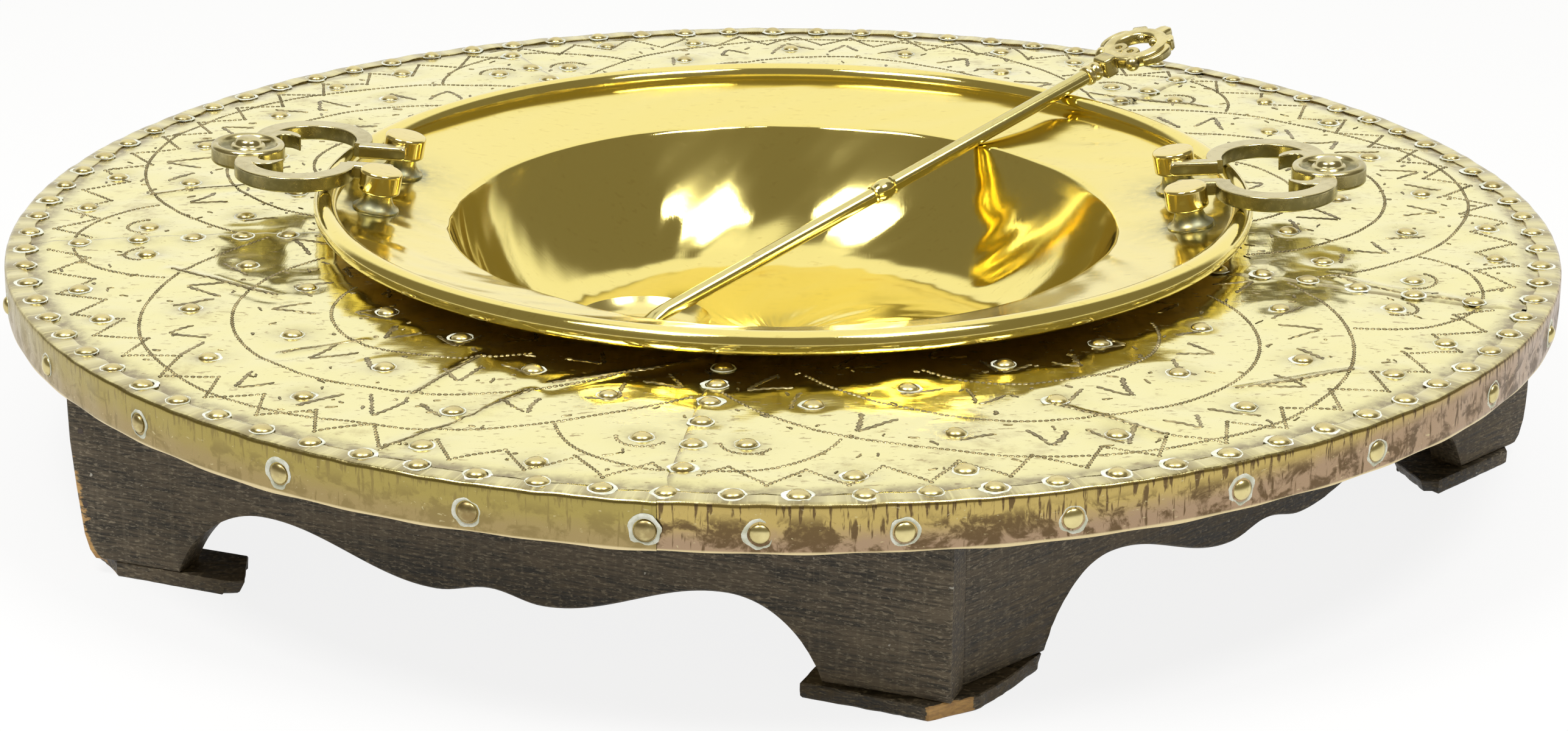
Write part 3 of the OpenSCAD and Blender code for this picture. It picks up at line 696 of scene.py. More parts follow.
def add_sheet(i):
    """One brass sheet, its start lapped over its neighbour's end."""
    first, last = SEAMS[i], SEAMS[(i + 1) % 5] + (360 if i == 4 else 0)
    radii = np.concatenate([np.linspace(SHEET_IN, 456, 120), np.linspace(459, 473, 4)])
    share = np.linspace(0, 1, 250)
    r, s = np.meshgrid(radii, share, indexing="ij")
    start = np.radians(first) - LAP / r
    t = start + s * (np.radians(last) - start)
    x, y = r * np.cos(t), r * np.sin(t)
    z = SHEET_TOP + sheet_height(x, y) + lap_rise(x, y, SEAMS[i])
    z[:, 0] -= 0.9
    z[r > 457.5] -= 0.15
    across, along = seam_side(x, y, SEAMS[i])
    near = nearest(x, y, TOP_SPOTS + FLANGE_SPOTS)
    # Painted shade: darker rings where the nail heads meet the sheet, lines along the lap edges and the flange's
    # edge, and the creases. The sheet is also darker in wider halos round the nails, and duller and darker under the
    # pan's rim.
    grime_and_shade = np.maximum(0.9 * np.exp(-(((near - 5.5) / 2.4) ** 2)), 0.55 * np.exp(-((near / 12) ** 2)))
    grime_and_shade = np.maximum(grime_and_shade, np.where(along > 0, np.exp(-(((across + LAP) / 3.2) ** 2)), 0))
    grime_and_shade = np.maximum(grime_and_shade, smooth(r, 446, 459))
    grime_and_shade = np.maximum(grime_and_shade, 0.2 * (1 - smooth(r, 222, 258)))
    for a, b in CREASES:
        grime_and_shade = np.maximum(grime_and_shade, 0.5 * np.exp(-((to_segment(x, y, a, b) / 2.5) ** 2)))
    verts = np.stack([x, y, z], -1).reshape(-1, 3)
    faces = [f[::-1] for f in grid_faces(len(radii), len(share))]
    piece(
        "Top_sheet_%d" % (i + 1), verts, faces, "stand", sheet_brass,
        ["top_sheet_%d" % (i + 1)], 60, paint={"grime_and_shade": grime_and_shade.ravel()},
    )


# Punched ornament of the sheets

EIGHTHS = np.arange(8) * math.pi / 4
DOT = (
    [(r * math.cos(a), r * math.sin(a), z) for r, z in ((1.5, -0.05), (1.1, 0.3), (0.5, 0.06)) for a in EIGHTHS]
    + [(0, 0, 0.02)],
    [[8 * j + k, 8 * j + (k + 1) % 8, 8 * j + 8 + (k + 1) % 8, 8 * j + 8 + k] for j in (0, 1) for k in range(8)]
    + [[16 + k, 16 + (k + 1) % 8, 24] for k in range(8)],
)
# Each dot is painted darker round its foot and raised ring, and lighter in the middle.
DOT_EDGE_DARK = [1.0] * 8 + [0.95] * 8 + [0.5] * 8 + [0.15]


def inside_sector(points, i, margin):
    """Which points lie on the sheet i, clear of its seams and of the top's edges."""
    x, y = points[:, 0], points[:, 1]
    r = np.hypot(x, y)
    after, _ = seam_side(x, y, SEAMS[i])
    before, _ = seam_side(x, y, SEAMS[(i + 1) % 5])
    return (after > margin) & (before < -margin - LAP) & (r > 226) & (r < 451)


def clear_of_nails(points, margin=6.6):
    """Which points lie farther than a margin from every nail."""
    return nearest(points[:, 0], points[:, 1], TOP_SPOTS) > margin


def dotted(a, b, pitch=3.3):
    """Points along a line, a pitch apart, each with the line's direction."""
    a, b = np.asarray(a, float), np.asarray(b, float)
    n = max(2, int(np.linalg.norm(b - a) / pitch) + 1)
    turn = np.full((n, 1), math.degrees(math.atan2(*(b - a)[::-1])))
    return np.hstack([a + np.linspace(0, 1, n)[:, None] * (b - a), turn])


def ring_points(centre, r, a0=0.0, a1=360.0, pitch=3.3):
    """Points along an arc, a pitch apart, each with the arc's direction."""
    n = max(2, int(math.radians(a1 - a0) * r / pitch))
    return np.array([[*(centre + polar(a, r)), a + 90] for a in np.linspace(a0, a1, n, endpoint=False)])


ZIGZAGS, ZIG_HALF, ZIG_IN, ZIG_OUT = 68, 2.65, 425, 449


def punched_dots():
    """Places of all the punched dots: lobes, lenses, border zigzag and crescents."""
    found = []
    lobes = [polar(m, LOBE_R) for m in SECTOR_MIDS]
    for i, c in enumerate(lobes):
        for r in (82, 138, 190):
            p = ring_points(c, r)
            found.append(p[inside_sector(p, i, 3) & (np.hypot(p[:, 0], p[:, 1]) > 288)])
    for k, seam in enumerate(SEAMS):
        p = ring_points(polar(seam, 357), 78)
        apart = np.ones(len(p), bool)
        for c in (lobes[k], lobes[k - 1]):
            apart &= np.hypot(p[:, 0] - c[0], p[:, 1] - c[1]) > 193
        side, _ = seam_side(p[:, 0], p[:, 1], seam)
        found.append(p[apart & (abs(side) > 10) & (np.hypot(p[:, 0], p[:, 1]) < 448)])
    for k in range(ZIGZAGS):
        a = k * 360 / ZIGZAGS
        start, dip, end = polar(a, ZIG_OUT), polar(a + ZIG_HALF, ZIG_IN), polar(a + 2 * ZIG_HALF, ZIG_OUT)
        for p in (dotted(start, dip), dotted(dip, end)):
            clear = np.ones(len(p), bool)
            for seam in SEAMS:
                across, along = seam_side(p[:, 0], p[:, 1], seam)
                clear &= (abs(across) > 9) | (along < 0)
            found.append(p[clear])
    for s in FLANK_SPOTS:
        out = math.degrees(math.atan2(s[1], s[0]))
        found.append(ring_points(s, 13.5, out - 80, out + 80, 3.0))
    points = np.concatenate(found)
    return points[clear_of_nails(points)]


def wavy_stroke(a, b, wobble, wide, taps):
    """Groove with raised edges from a to b, struck by hand; returns one part lying on the sheets."""
    a, b = np.asarray(a, float), np.asarray(b, float)
    length = np.linalg.norm(b - a)
    n = max(6, int(length / 1.2))
    t = np.linspace(0, 1, n)
    across = np.array([-(b - a)[1], (b - a)[0]]) / length
    bend = wobble * np.sin(t * length * taps.uniform(1.1, 1.5) + taps.uniform(0, 6)) + taps.normal(0, 0.12, n)
    bend += 0.03 * length * np.sin(t * math.pi) * taps.normal()
    line = a + t[:, None] * (b - a) + bend[:, None] * across
    width = wide * (1.0 + 0.22 * taps.normal(0, 1, n))
    width[0] *= 0.3
    width[-1] *= 0.5
    verts = []
    for off, h in ((-0.95, -0.06), (-0.55, 0.3), (0, 0.02), (0.55, 0.3), (0.95, -0.06)):
        p = line + off * np.clip(1.6 * width, 0.3, 2.2)[:, None] * across
        verts.append(np.column_stack([p, sheet_z(p[:, 0], p[:, 1]) + h]))
    return np.concatenate(verts), [f[::-1] for f in grid_faces(5, n)]


TICKS = 420


def punched_strokes():
    """Rings of V strokes round each lobe, pointing outwards, with ticks and long wrinkles between them."""
    taps = np.random.default_rng(21)
    strokes = []
    for i, m in enumerate(SECTOR_MIDS):
        c = polar(m, LOBE_R)
        for pitch, tip, foot, spread in ((40, 66, 48, 9.5), (22, 118, 97, 10.5), (15, 176, 154, 11)):
            most = int(170 / pitch)
            for k in range(-most, most + 1):
                turn = m + k * pitch + taps.normal(0, 1.2)
                open_by = spread * (1.35 if k % 2 else 1.0)
                point = c + polar(turn, tip + taps.normal(0, 2))
                for side in (-1, 1):
                    reach = side * math.degrees(open_by * taps.uniform(0.85, 1.15) / foot)
                    end = c + polar(turn + reach, foot + taps.normal(0, 3))
                    pair = np.array([point, end, (point + end) / 2])
                    if inside_sector(pair, i, 5).all() and (np.hypot(*pair.T) < 446).all():
                        if (np.hypot(*pair.T) > 240).all() and clear_of_nails(pair).all():
                            near_tip = point + (end - point) * taps.uniform(0, 0.12)
                            strokes.append(wavy_stroke(end, near_tip, 0.45, taps.uniform(0.75, 1.05), taps))
    for _ in range(TICKS):
        a, r = taps.uniform(0, 360), math.sqrt(taps.uniform(280**2, 446**2))
        p = polar(a, r)
        q = p + polar(taps.uniform(0, 360), taps.uniform(2, 7))
        pair = np.array([p, q])
        if clear_of_nails(pair, 9).all() and (np.hypot(*pair.T) < 447).all():
            strokes.append(wavy_stroke(p, q, 0.2, taps.uniform(0.45, 0.85), taps))
    for a, b in CREASES:
        strokes.append(wavy_stroke(a, b, 0.3, 0.7, taps))
    return strokes


def add_ornament():
    spots = punched_dots()
    heights = sheet_z(spots[:, 0], spots[:, 1])
    taps = np.random.default_rng(5)
    places = [
        lying(x, y, z, turn + taps.normal(0, 8), taps.uniform(0.95, 1.25), taps.uniform(0.72, 1.0))
        for (x, y, turn), z in zip(spots, heights)
    ]
    verts, faces = strewn(DOT, places)
    paint = {"grime_and_shade": DOT_EDGE_DARK * len(places)}
    piece("Punched_dots", verts, faces, "stand", punch_brass, sharp=50, paint=paint)
    strokes = punched_strokes()
    verts, faces = joined(strokes)
    # Each stroke is painted darker along its edges and ridges, and lighter in its groove.
    rows = np.concatenate([np.repeat((1.0, 0.9, 0.4, 0.9, 1.0), len(v) // 5) for v, _ in strokes])
    piece("Punched_strokes", verts, faces, "stand", punch_brass, sharp=50, paint={"grime_and_shade": rows})


# Nails with the polish left round them

NAIL = turned(
    [(NAIL_R, -0.7), (NAIL_R, 0.3), (5.15, 0.95), (4.3, 1.7), (3.1, 2.3), (1.6, 2.68), (0, NAIL_H)], 18
)


def polish_ring(wide, taps):
    """Irregular ring of dried polish, flat on z = 0, a little away from the head."""
    n = 28
    a = np.linspace(0, 2 * math.pi, n, endpoint=False)
    lump = np.convolve(np.tile(taps.uniform(-1, 1, n), 3), [0.25, 0.5, 0.25], "same")[n : 2 * n]
    lean = 0.45 * np.sin(a + taps.uniform(0, 6.3))
    inner = NAIL_R + 0.7 + 0.25 * lump
    outer = inner + np.clip(wide * (1.0 + 0.7 * lump + lean), 0.15, 3.0)
    verts = []
    for share, z in ((0, -0.1), (0.3, 0.3), (0.7, 0.27), (1, -0.12)):
        r = inner + share * (outer - inner)
        verts += list(zip(r * np.cos(a), r * np.sin(a), np.full(n, z)))
    return verts, [f[::-1] for f in grid_faces(4, n, wrap=True)]


def add_nails(name, seats, wide, dirt_and_shade):
    """One group of nails; seats are (origin, direction), dirt_and_shade tells how brown each may be; the foot of each
    head gets painted shade.
    """
    taps = np.random.default_rng(len(seats))
    heads, rings, grime_and_shade = [], [], []
    for (origin, up), brown in zip(seats, dirt_and_shade):
        lean = np.asarray(up, float) / np.linalg.norm(up) + taps.normal(0, 0.04, 3)
        heads.append(standing(origin, lean, taps.uniform(0.93, 1.06), taps.uniform(0.86, 1.06)))
        rings.append(moved(polish_ring(wide * taps.uniform(0.5, 1.3), taps), standing(origin, up)))
        shade = brown * taps.uniform(0.6, 1.0)
        # Painted shade on the lowest ring of each head, where it meets the surface; above it each nail keeps its own
        # level of brown.
        grime_and_shade += [max(shade, 0.85 * (1 - smooth(z, -0.2, 0.9))) for _, _, z in NAIL[0]]
    verts, faces = strewn(NAIL, heads)
    piece(name, verts, faces, "stand", nail_brass, [name.lower()], 60, paint={"grime_and_shade": grime_and_shade})
    verts, faces = joined(rings)
    piece(name + "_polish", verts, faces, "stand", residue, sharp=60)


def add_all_nails():
    for name, spots, wide in (("Seam_nails", SEAM_SPOTS, 1.4), ("Field_nails", FIELD_SPOTS, 1.2)):
        seats = [((x, y, float(sheet_z(x, y)) + 0.25), (0, 0, 1)) for x, y in spots]
        add_nails(name, seats, wide, [0.35] * len(seats))
    seats = [((x, y, STAND_H), (0, 0, 1)) for x, y in FLANGE_SPOTS]
    add_nails("Flange_nails", seats, 1.6, [0.4] * len(seats))
    seats, dirt_and_shade = [], []
    for a in BAND_DIRS:
        x, y = polar(a, TOP_R + (1.0 if abs(a - BAND_JOINT) < 2 else 0.1))
        seats.append(((x, y, BAND_NAIL_Z), (x, y, 0)))
        dirt_and_shade.append(0.95 if BAND_JOINT - 180 < a < BAND_JOINT else 0.25)
    add_nails("Band_nails", seats, 1.9, dirt_and_shade)


# Edge band with its flange

BAND_LIFT = 0.9


def polar_points(angles, r):
    """Points in plan at many directions, with one distance or one each."""
    return r * np.cos(np.radians(angles)), r * np.sin(np.radians(angles))


def ripple(angles, counts, size, seed):
    """Seeded unevenness round the edge, the same for both strips."""
    rnd = np.random.default_rng(seed)
    t = np.radians(angles)
    return sum(size / len(counts) * 1.6 * np.sin(n * t + rnd.uniform(0, 6.3)) for n in counts)


def add_band(name, first, last, material):
    """One strip of the band, its end lifted where it laps on the other strip."""
    t = np.linspace(first, last, 640)
    lift = BAND_LIFT * smooth(t, last - 5, last - 1)
    cut = FLANGE_IN + 0.4 + ripple(t, (88, 61, 137, 23), 1.1, 1)
    top = STAND_H + 0.1 + ripple(t, (31, 57, 90, 143), 0.3, 2)
    low = STAND_H - BAND_H + ripple(t, (7, 13, 29, 61), 0.7, 3)
    bow = ripple(t, (19, 37, 71, 120), 0.35, 4)
    rows = [(cut, SHEET_TOP - 0.2), (cut + 0.05, top - 0.3), (cut + 0.6, top)]
    rows += [(r, top + 0.12 * math.sin(r)) for r in (464.5, 467.5, 470.5)]
    rows += [(TOP_R - 2.6 + 2.6 * math.sin(a), top - 2.6 + 2.6 * math.cos(a)) for a in np.radians([0, 30, 60, 90])]
    rows += [(TOP_R + bow * w, STAND_H - d) for w, d in ((0.3, 5), (0.8, 9), (1, 14), (0.8, 19), (0.4, 23))]
    rows += [(TOP_R, low + 0.5), (TOP_R - 0.3, low), (TOP_R - 0.8, low), (TOP_R - 0.8, low + 6)]
    verts, wrap, grime_and_shade, flat = [], [], [], []
    fixed = nearest(*polar_points(t, FLANGE_IN + 5), FLANGE_SPOTS)
    edge = np.random.default_rng(9).uniform(0, 1, len(t))
    for r, z in rows:
        r = np.broadcast_to(np.asarray(r, float), t.shape) + lift
        z = np.broadcast_to(np.asarray(z, float), t.shape)
        verts.append(np.column_stack([*polar_points(t, r), z]))
        wrap.append(np.column_stack([np.radians(t) * 0.475, z * MM, 0 * z + (r - 460) * MM]))
        level = smooth(z, top - 1.4, top - 0.4)
        flat.append(level)
        soil = np.maximum(0.95 * np.exp(-((fixed / 12.5) ** 2)) * level, 0.7 * edge * (r > TOP_R - 3))
        # Painted shade on the flange's cut edge, where it steps down onto the sheets; the flange is also darker round
        # its nails and unevenly along its outer edge.
        grime_and_shade.append(np.maximum(soil, 0.9 * (r < cut + 0.3)))
    faces = grid_faces(len(rows), len(t))
    piece(
        name, np.concatenate(verts), [f[::-1] for f in faces], "stand", material, [name.lower()], 50,
        paint={"wrap": np.concatenate(wrap), "grime_and_shade": np.concatenate(grime_and_shade), "flat": np.concatenate(flat)},
    )


# Wooden base

ARCH_H, ARCH_W, ARCH_LEAN, LOBE_H, LOBE_S, NOTCH_H = 42.0, 54.0, 25.0, 16.5, 32.0, 22.0
END_L = 40.0
CORNER_POINTS = [polar(a, r) for a, r in CORNERS]


def side_of(i):
    """Start, direction, outward normal and length of the apron that starts at corner i."""
    a, b = CORNER_POINTS[i], CORNER_POINTS[(i + 1) % 5]
    length = np.linalg.norm(b - a)
    t = (b - a) / length
    return a, t, np.array([t[1], -t[0]]), length


def apron_columns(i, length):
    """Distances along an apron and the height of its lower edge there."""
    middle = length / 2 + (FRONT_SHIFT if i == 0 else 0)
    apex, lean = ARCH_REACH - ARCH_W, math.radians(ARCH_LEAN)
    edge = []
    for a in np.linspace(lean, math.pi / 2, 20)[:-1]:
        rise = (math.sin(a) - math.sin(lean)) / (1 - math.sin(lean))
        edge.append((apex + ARCH_W * math.cos(a) / math.cos(lean), ARCH_H * rise))
    for t in np.linspace(0, math.pi, 26)[:-1]:
        edge.append((apex - (apex - LOBE_S) * t / math.pi, LOBE_H + (ARCH_H - LOBE_H) * (1 + math.cos(t)) / 2))
    for t in np.linspace(0, math.pi, 10):
        edge.append((LOBE_S * (1 - t / math.pi), LOBE_H + (NOTCH_H - LOBE_H) * (1 - math.cos(t)) / 2))
    columns = [(s, 0.0) for s in np.linspace(2, middle - ARCH_REACH - 0.5, 14)]
    columns += [(middle - s, h) for s, h in edge] + [(middle + s, h) for s, h in edge[-2::-1]]
    return columns + [(s, 0.0) for s in np.linspace(middle + ARCH_REACH + 0.5, length - 2, 14)]


def apron_ends(i):
    """Functions of depth and height that give where an apron starts, and ends past its length."""
    _, t, out, _ = side_of(i)
    _, _, out_before, _ = side_of(i - 1)
    _, t_next, out_next, _ = side_of((i + 1) % 5)
    lap = APRON_T / math.tan(math.acos(np.dot(t, t_next))) + LAP_OVER

    def butted(y, other):
        return (y * np.dot(out, other) - APRON_T) / np.dot(t, other)

    start = lambda y, z: butted(y, out_before)
    end = lambda y, z: lap
    if i == 0:
        end = lambda y, z: np.interp(z, (9, 10.5, 17, 32, 111), (lap - 16, lap - 11, lap - 6, lap - 3, lap - 1))
    if i == 3:
        end = lambda y, z: butted(y, out_next)
    if i == 4:
        start = lambda y, z: -np.interp(z, (9, 14, 20, 50, 80, 111), (-6, -2.5, 0, 3.5, 6, 6.2))
    return start, end


def add_apron(i):
    """One shaped board, its edges eased and its faces a little uneven."""
    corner, t, _, length = side_of(i)
    start, end = apron_ends(i)
    columns = [(0.0, 0.0, 1.0), (0.9, 0.0, 0.0)] + [(x, h, 0.0) for x, h in apron_columns(i, length)]
    columns += [(length - 0.9, 0.0, 0.0), (length, 0.0, 1.0)]
    plane = np.random.default_rng(40 + i)
    verts, raw = [], []
    for x, h, ease in columns:
        low, top = SHOE_T + h + 0.02, APRON_TOP
        face = [low + 1.1] + list(np.linspace(low + 5, top - 4, 11)) + [top - 0.4]
        ring = [(1.1, low)] + [(0.0, z) for z in face] + [(0.4, top), (APRON_T - 0.4, top)]
        ring += [(APRON_T, z) for z in (top - 0.4, (low + top) / 2, low + 1.1)] + [(APRON_T - 1.1, low)]
        for y, z in ring:
            y = min(max(y, 0.9 * ease), APRON_T - 0.9 * ease)
            y += 0.05 + (0.12 * plane.normal() if y < 0.02 else 0)
            shift = max(0.0, 1 - x / END_L) * start(y, z) + max(0.0, 1 - (length - x) / END_L) * end(y, z)
            verts.append((x + shift, y, z))
            worn = 0.0
            if i == 4:
                worn = (1 - smooth(x, 2, 10)) * (0.65 + 0.35 * (1 - smooth(z, 12, 30))) * (1 - smooth(z, 50, 95))
            raw.append(max(worn, 0.3 * (1 - smooth(z - low, 0, 2.5)) if y < 1 else 0.0))
    n = len(ring)
    faces = grid_faces(len(columns), n, wrap=True)
    faces += [list(range(n)), [(len(columns) - 1) * n + k for k in range(n)][::-1]]
    turn = math.degrees(math.atan2(t[1], t[0]))
    piece(
        "Apron_%d" % (i + 1), verts, [f[::-1] for f in faces], "stand", apron_wood,
        ["apron_%d" % (i + 1)], 32, place_at(*corner, turn), {"raw": raw},
    )


def shoe_end(reach, out, cut):
    """End of one arm of a shoe: distances from the corner and past the apron's face."""
    deep = -APRON_T - SHOE_IN
    if cut:
        return [(reach - END_CUT, out), (reach, -END_CUT / 2), (reach - 2 * END_CUT, deep)]
    return [(reach, out), (reach, deep)]


def add_shoe(i):
    """The worn plate under one foot, with chipped edges and ends that slope inwards below."""
    w, db, nb, _ = side_of(i)
    _, da, na, _ = side_of(i - 1)
    right, left = i == 1, i == 4
    out = 0.0 if left else SHOE_OUT
    heel = shoe_end(SHOE_LONG if right else SHOE_HEEL, out, right)
    toe = shoe_end(SHOE_LONG if left else SHOE_TOE, 0.0, left)
    saw = [(SIDE_CUT, out), (SIDE_CUT, 0.0)] if left or right else [(-1, FACET_IN), (FACET_L, FACET_OUT)]
    outline = [w - saw[0][0] * da + saw[0][1] * na, w + saw[1][0] * db + saw[1][1] * nb]
    if not left and not right:
        outline.append(w + 52 * db + 8.4 * nb)
    toe_at = len(outline)
    outline += [w + p[0] * db + p[1] * nb for p in toe]
    outline.append(w - (APRON_T + SHOE_IN) * (na + nb) / (1 + np.dot(na, nb)))
    heel_at = len(outline)
    outline += [w - p[0] * da + p[1] * na for p in heel[::-1]]
    chips = np.random.default_rng(60 + i)
    points, sawn, under = [], [], []
    for k, p in enumerate(outline):
        q = outline[(k + 1) % len(outline)]
        n = max(2, int(np.linalg.norm(q - p) / 4))
        ends = toe_at <= k < toe_at + len(toe) - 1 or heel_at <= k < len(outline) - 1
        for s in range(n):
            points.append(p + (q - p) * s / n)
            sawn.append(1.0 if k == 0 else 0.0)
            under.append(5.0 if ends else 0.0)
    points = np.array(points)
    middle = w - 20 * (na + nb)
    inward = middle - points
    inward /= np.linalg.norm(inward, axis=1)[:, None]
    wear = np.abs(chips.normal(0, 0.5, len(points)))
    verts, raw = [], []
    for depth, z in ((1.4, 0.0), (0.25, 1.2), (0.0, 4.5), (0.2, SHOE_T - 0.8), (0.9, SHOE_T)):
        slope = np.array(under) * (1 - z / SHOE_T)
        ring = points + inward * (depth + slope + wear * (1 if z < 5 else 0.4))[:, None]
        verts += [(x - w[0], y - w[1], z) for x, y in ring]
        worn = np.array(sawn) * (1.0 if i == 0 else 0.5 if left else 0.2)
        raw += list(np.maximum(worn * (1 - smooth(z, 8, 10)), 0.3 if z < 1.3 else 0.0))
    n = len(points)
    faces = grid_faces(5, n, wrap=True) + [list(range(n))[::-1], [4 * n + k for k in range(n)]]
    piece(
        "Shoe_%d" % (i + 1), verts, faces, "stand", apron_wood, ["shoe_%d" % (i + 1)], 32,
        place_at(*w), {"raw": raw},
    )


# Fire pan

FLOOR_Z = MOUTH_Z - BOWL_D
LIP_T = LIP_R * math.tan((WALL_SLOPE - RIM_SLOPE) / 2)
LIP_X = MOUTH_R + LIP_T * math.cos(RIM_SLOPE) + LIP_R * math.sin(RIM_SLOPE)
LIP_Z = MOUTH_Z + LIP_T * math.sin(RIM_SLOPE) - LIP_R * math.cos(RIM_SLOPE)
FOOT_SLOPE, LIP_SLOPE = 44.0, 70.0


def rim_z(r):
    """Height of the rim's upper face at a distance from the middle."""
    return MOUTH_Z + (r - MOUTH_R) * math.tan(RIM_SLOPE)


def straight(a, b, step):
    """Points between two profile points, without the ends."""
    n = max(2, int(math.hypot(b[0] - a[0], b[1] - a[1]) / step))
    return [(a[0] + (b[0] - a[0]) * k / n, a[1] + (b[1] - a[1]) * k / n) for k in range(1, n)]


def pan_profile():
    """Upper face from the middle to the end of the roll, then the underside back; the wall is slightly round."""
    rim = math.degrees(RIM_SLOPE)
    lip = arc(LIP_X, LIP_Z, LIP_R, 90 + LIP_SLOPE, 90 + rim, 7)
    s1, c1 = math.sin(math.radians(FOOT_SLOPE)), math.cos(math.radians(FOOT_SLOPE))
    s2, c2 = math.sin(math.radians(LIP_SLOPE)), math.cos(math.radians(LIP_SLOPE))
    wall_r = (lip[0][1] - FLOOR_Z - BOWL_FILLET * (1 - c1)) / (c1 - c2)
    floor_r = lip[0][0] - BOWL_FILLET * s1 - wall_r * (s2 - s1)
    foot = (floor_r, FLOOR_Z + BOWL_FILLET)
    wall = (floor_r + (BOWL_FILLET - wall_r) * s1, FLOOR_Z + BOWL_FILLET + (wall_r - BOWL_FILLET) * c1)
    fillet = arc(*foot, BOWL_FILLET, -90, FOOT_SLOPE - 90, 14)
    roll = arc(ROLL_R, ROLL_Z, ROLL_OR, 203, -150, 34)
    upper = [(0.0, FLOOR_Z)] + straight((0, FLOOR_Z), fillet[0], 6) + fillet
    upper += arc(*wall, wall_r, FOOT_SLOPE - 90, LIP_SLOPE - 90, 28)[1:-1] + lip
    upper += straight(lip[-1], roll[0], 4) + roll
    under = PAN_T / math.cos(RIM_SLOPE)
    below = [(277.0, rim_z(277) - under)] + arc(LIP_X, LIP_Z, LIP_R - PAN_T, 90 + rim, 90 + LIP_SLOPE, 4)
    below += arc(*wall, wall_r + PAN_T, LIP_SLOPE - 90, FOOT_SLOPE - 90, 6)[1:]
    below += arc(*foot, BOWL_FILLET + PAN_T, FOOT_SLOPE - 90, -90, 7)[1:] + [(0.0, FLOOR_Z - PAN_T)]
    return upper, below


def add_pan():
    """Spun and planished pan: a turned sheet with slight dents on its upper face, unpolished below."""
    upper, below = pan_profile()
    count = 360
    verts, faces = turned(upper + below, count)
    verts = np.array(verts)
    rnd = np.random.default_rng(3)
    line = np.array(upper)[1:]
    ahead = np.gradient(np.array(upper), axis=0)[1:]
    ahead /= np.linalg.norm(ahead, axis=1)[:, None]
    run = np.concatenate([[0], np.cumsum(np.hypot(*np.diff(line, axis=0).T))])[:, None]
    t = np.linspace(0, 2 * math.pi, count, endpoint=False)[None, :]
    dent = np.zeros((len(line), count))
    for _ in range(26):
        n, length = int(rnd.integers(2, 17)), rnd.uniform(38, 160)
        dent += 0.15 * 9 / (6 + n) * np.sin(n * t + 2 * math.pi * run / length + rnd.uniform(0, 6.3))
    for _ in range(30):
        n, length = int(rnd.integers(18, 64)), rnd.uniform(18, 45)
        size = 0.006 / math.hypot(n / 180, 2 * math.pi / length)
        dent += size * np.sin(n * t + 2 * math.pi * run / length + rnd.uniform(0, 6.3))
    r = line[:, :1]
    dent *= smooth(r, 12, 45) * (1 - smooth(r, 262, 274))
    face = verts[1 : 1 + dent.size].reshape(len(line), count, 3)
    face[:, :, 0] -= dent * ahead[:, 1:] * np.cos(t)
    face[:, :, 1] -= dent * ahead[:, 1:] * np.sin(t)
    face[:, :, 2] += dent * ahead[:, :1]
    feet = [stud_matrix(d, s).translation / MM for d in (LEFT_DIR, RIGHT_DIR) for s in (-1, 1)]
    away = nearest(verts[:, 0], verts[:, 1], [(p.x, p.y) for p in feet])
    # Painted shade with grey-green grime, in a ring round each stud's foot and fading outwards, above the mouth's
    # height only.
    grime_and_shade = np.maximum(np.exp(-(((away - 14) / 6) ** 2)), 0.5 * np.exp(-((away / 28) ** 2)))
    grime_and_shade = np.where(verts[:, 2] > MOUTH_Z, grime_and_shade, 0)
    piece(
        "Fire_pan", verts, [f[::-1] for f in faces], "pan", pan_brass, ["fire_pan"], 50,
        paint={"grime_and_shade": grime_and_shade}, under=(underside_brass, count * (len(upper) - 1)),
    )


# Studs and handles

STUD_X = PIVOT_R + PIVOT_H * math.sin(RIM_SLOPE)
STUD_Z = rim_z(math.hypot(STUD_X, STUD_HALF))
HEAD_R, HEAD_H = 13.0, 14.0
BAR_Y, PIN_Y, PIN_R, PIN_L = 21.1, 24.6, 3.2, 17.0
SCROLL_X, SCROLL_Y, SCROLL_R, SCROLL_N = 56.0, 26.0, 32.0, 54
DISC_X = 92.0


def stud_matrix(direction, side):
    """Place of a stud, square to the sloping rim."""
    seat = Matrix.Translation(Vector((STUD_X, side * STUD_HALF, STUD_Z)) * MM)
    return Matrix.Rotation(math.radians(direction), 4, "Z") @ seat @ Matrix.Rotation(-RIM_SLOPE, 4, "Y")


def add_stud(name, direction, side):
    """Turned stud: flared foot, short neck and drum-shaped head with an eased edge."""
    z0, z1 = PIVOT_H - HEAD_H / 2, PIVOT_H + HEAD_H / 2
    profile = [(14.2, -1.2), (14.5, 0.4), (14.2, 1.2), (13.2, 1.7), (12.4, 2.2), (11.4, 3.2), (10.4, 4.6), (9.5, 6.4)]
    profile += [(8.9, 8.4), (8.8, z0 - 0.9), (10.4, z0 - 0.5), (12.0, z0 + 0.1), (12.8, z0 + 0.7), (HEAD_R, z0 + 1.5)]
    profile += [(HEAD_R, z0 + 2.2), (HEAD_R, z1 - 2.2), (HEAD_R, z1 - 1.5), (12.7, z1 - 0.8), (12.2, z1 - 0.2)]
    profile += [(11.4, z1 + 0.1), (10.4, z1 + 0.15), (5, z1 + 0.2), (0, z1 + 0.2)]
    verts, faces = turned(profile, 48)
    # Painted shade with verdigris: the foot and neck under the head, and a band just below the head's edge, are
    # darkened.
    grime_and_shade = [
        max(1 - smooth(z, z0 - 2, z0 + 0.4), 0.7 * math.exp(-(((z - z0 - 0.4) / 0.8) ** 2)))
        for _, _, z in verts
    ]
    seat = stud_matrix(direction, side)
    piece(name, verts, faces, "pan", stud_brass, [name.lower()], 40, seat, {"grime_and_shade": grime_and_shade})


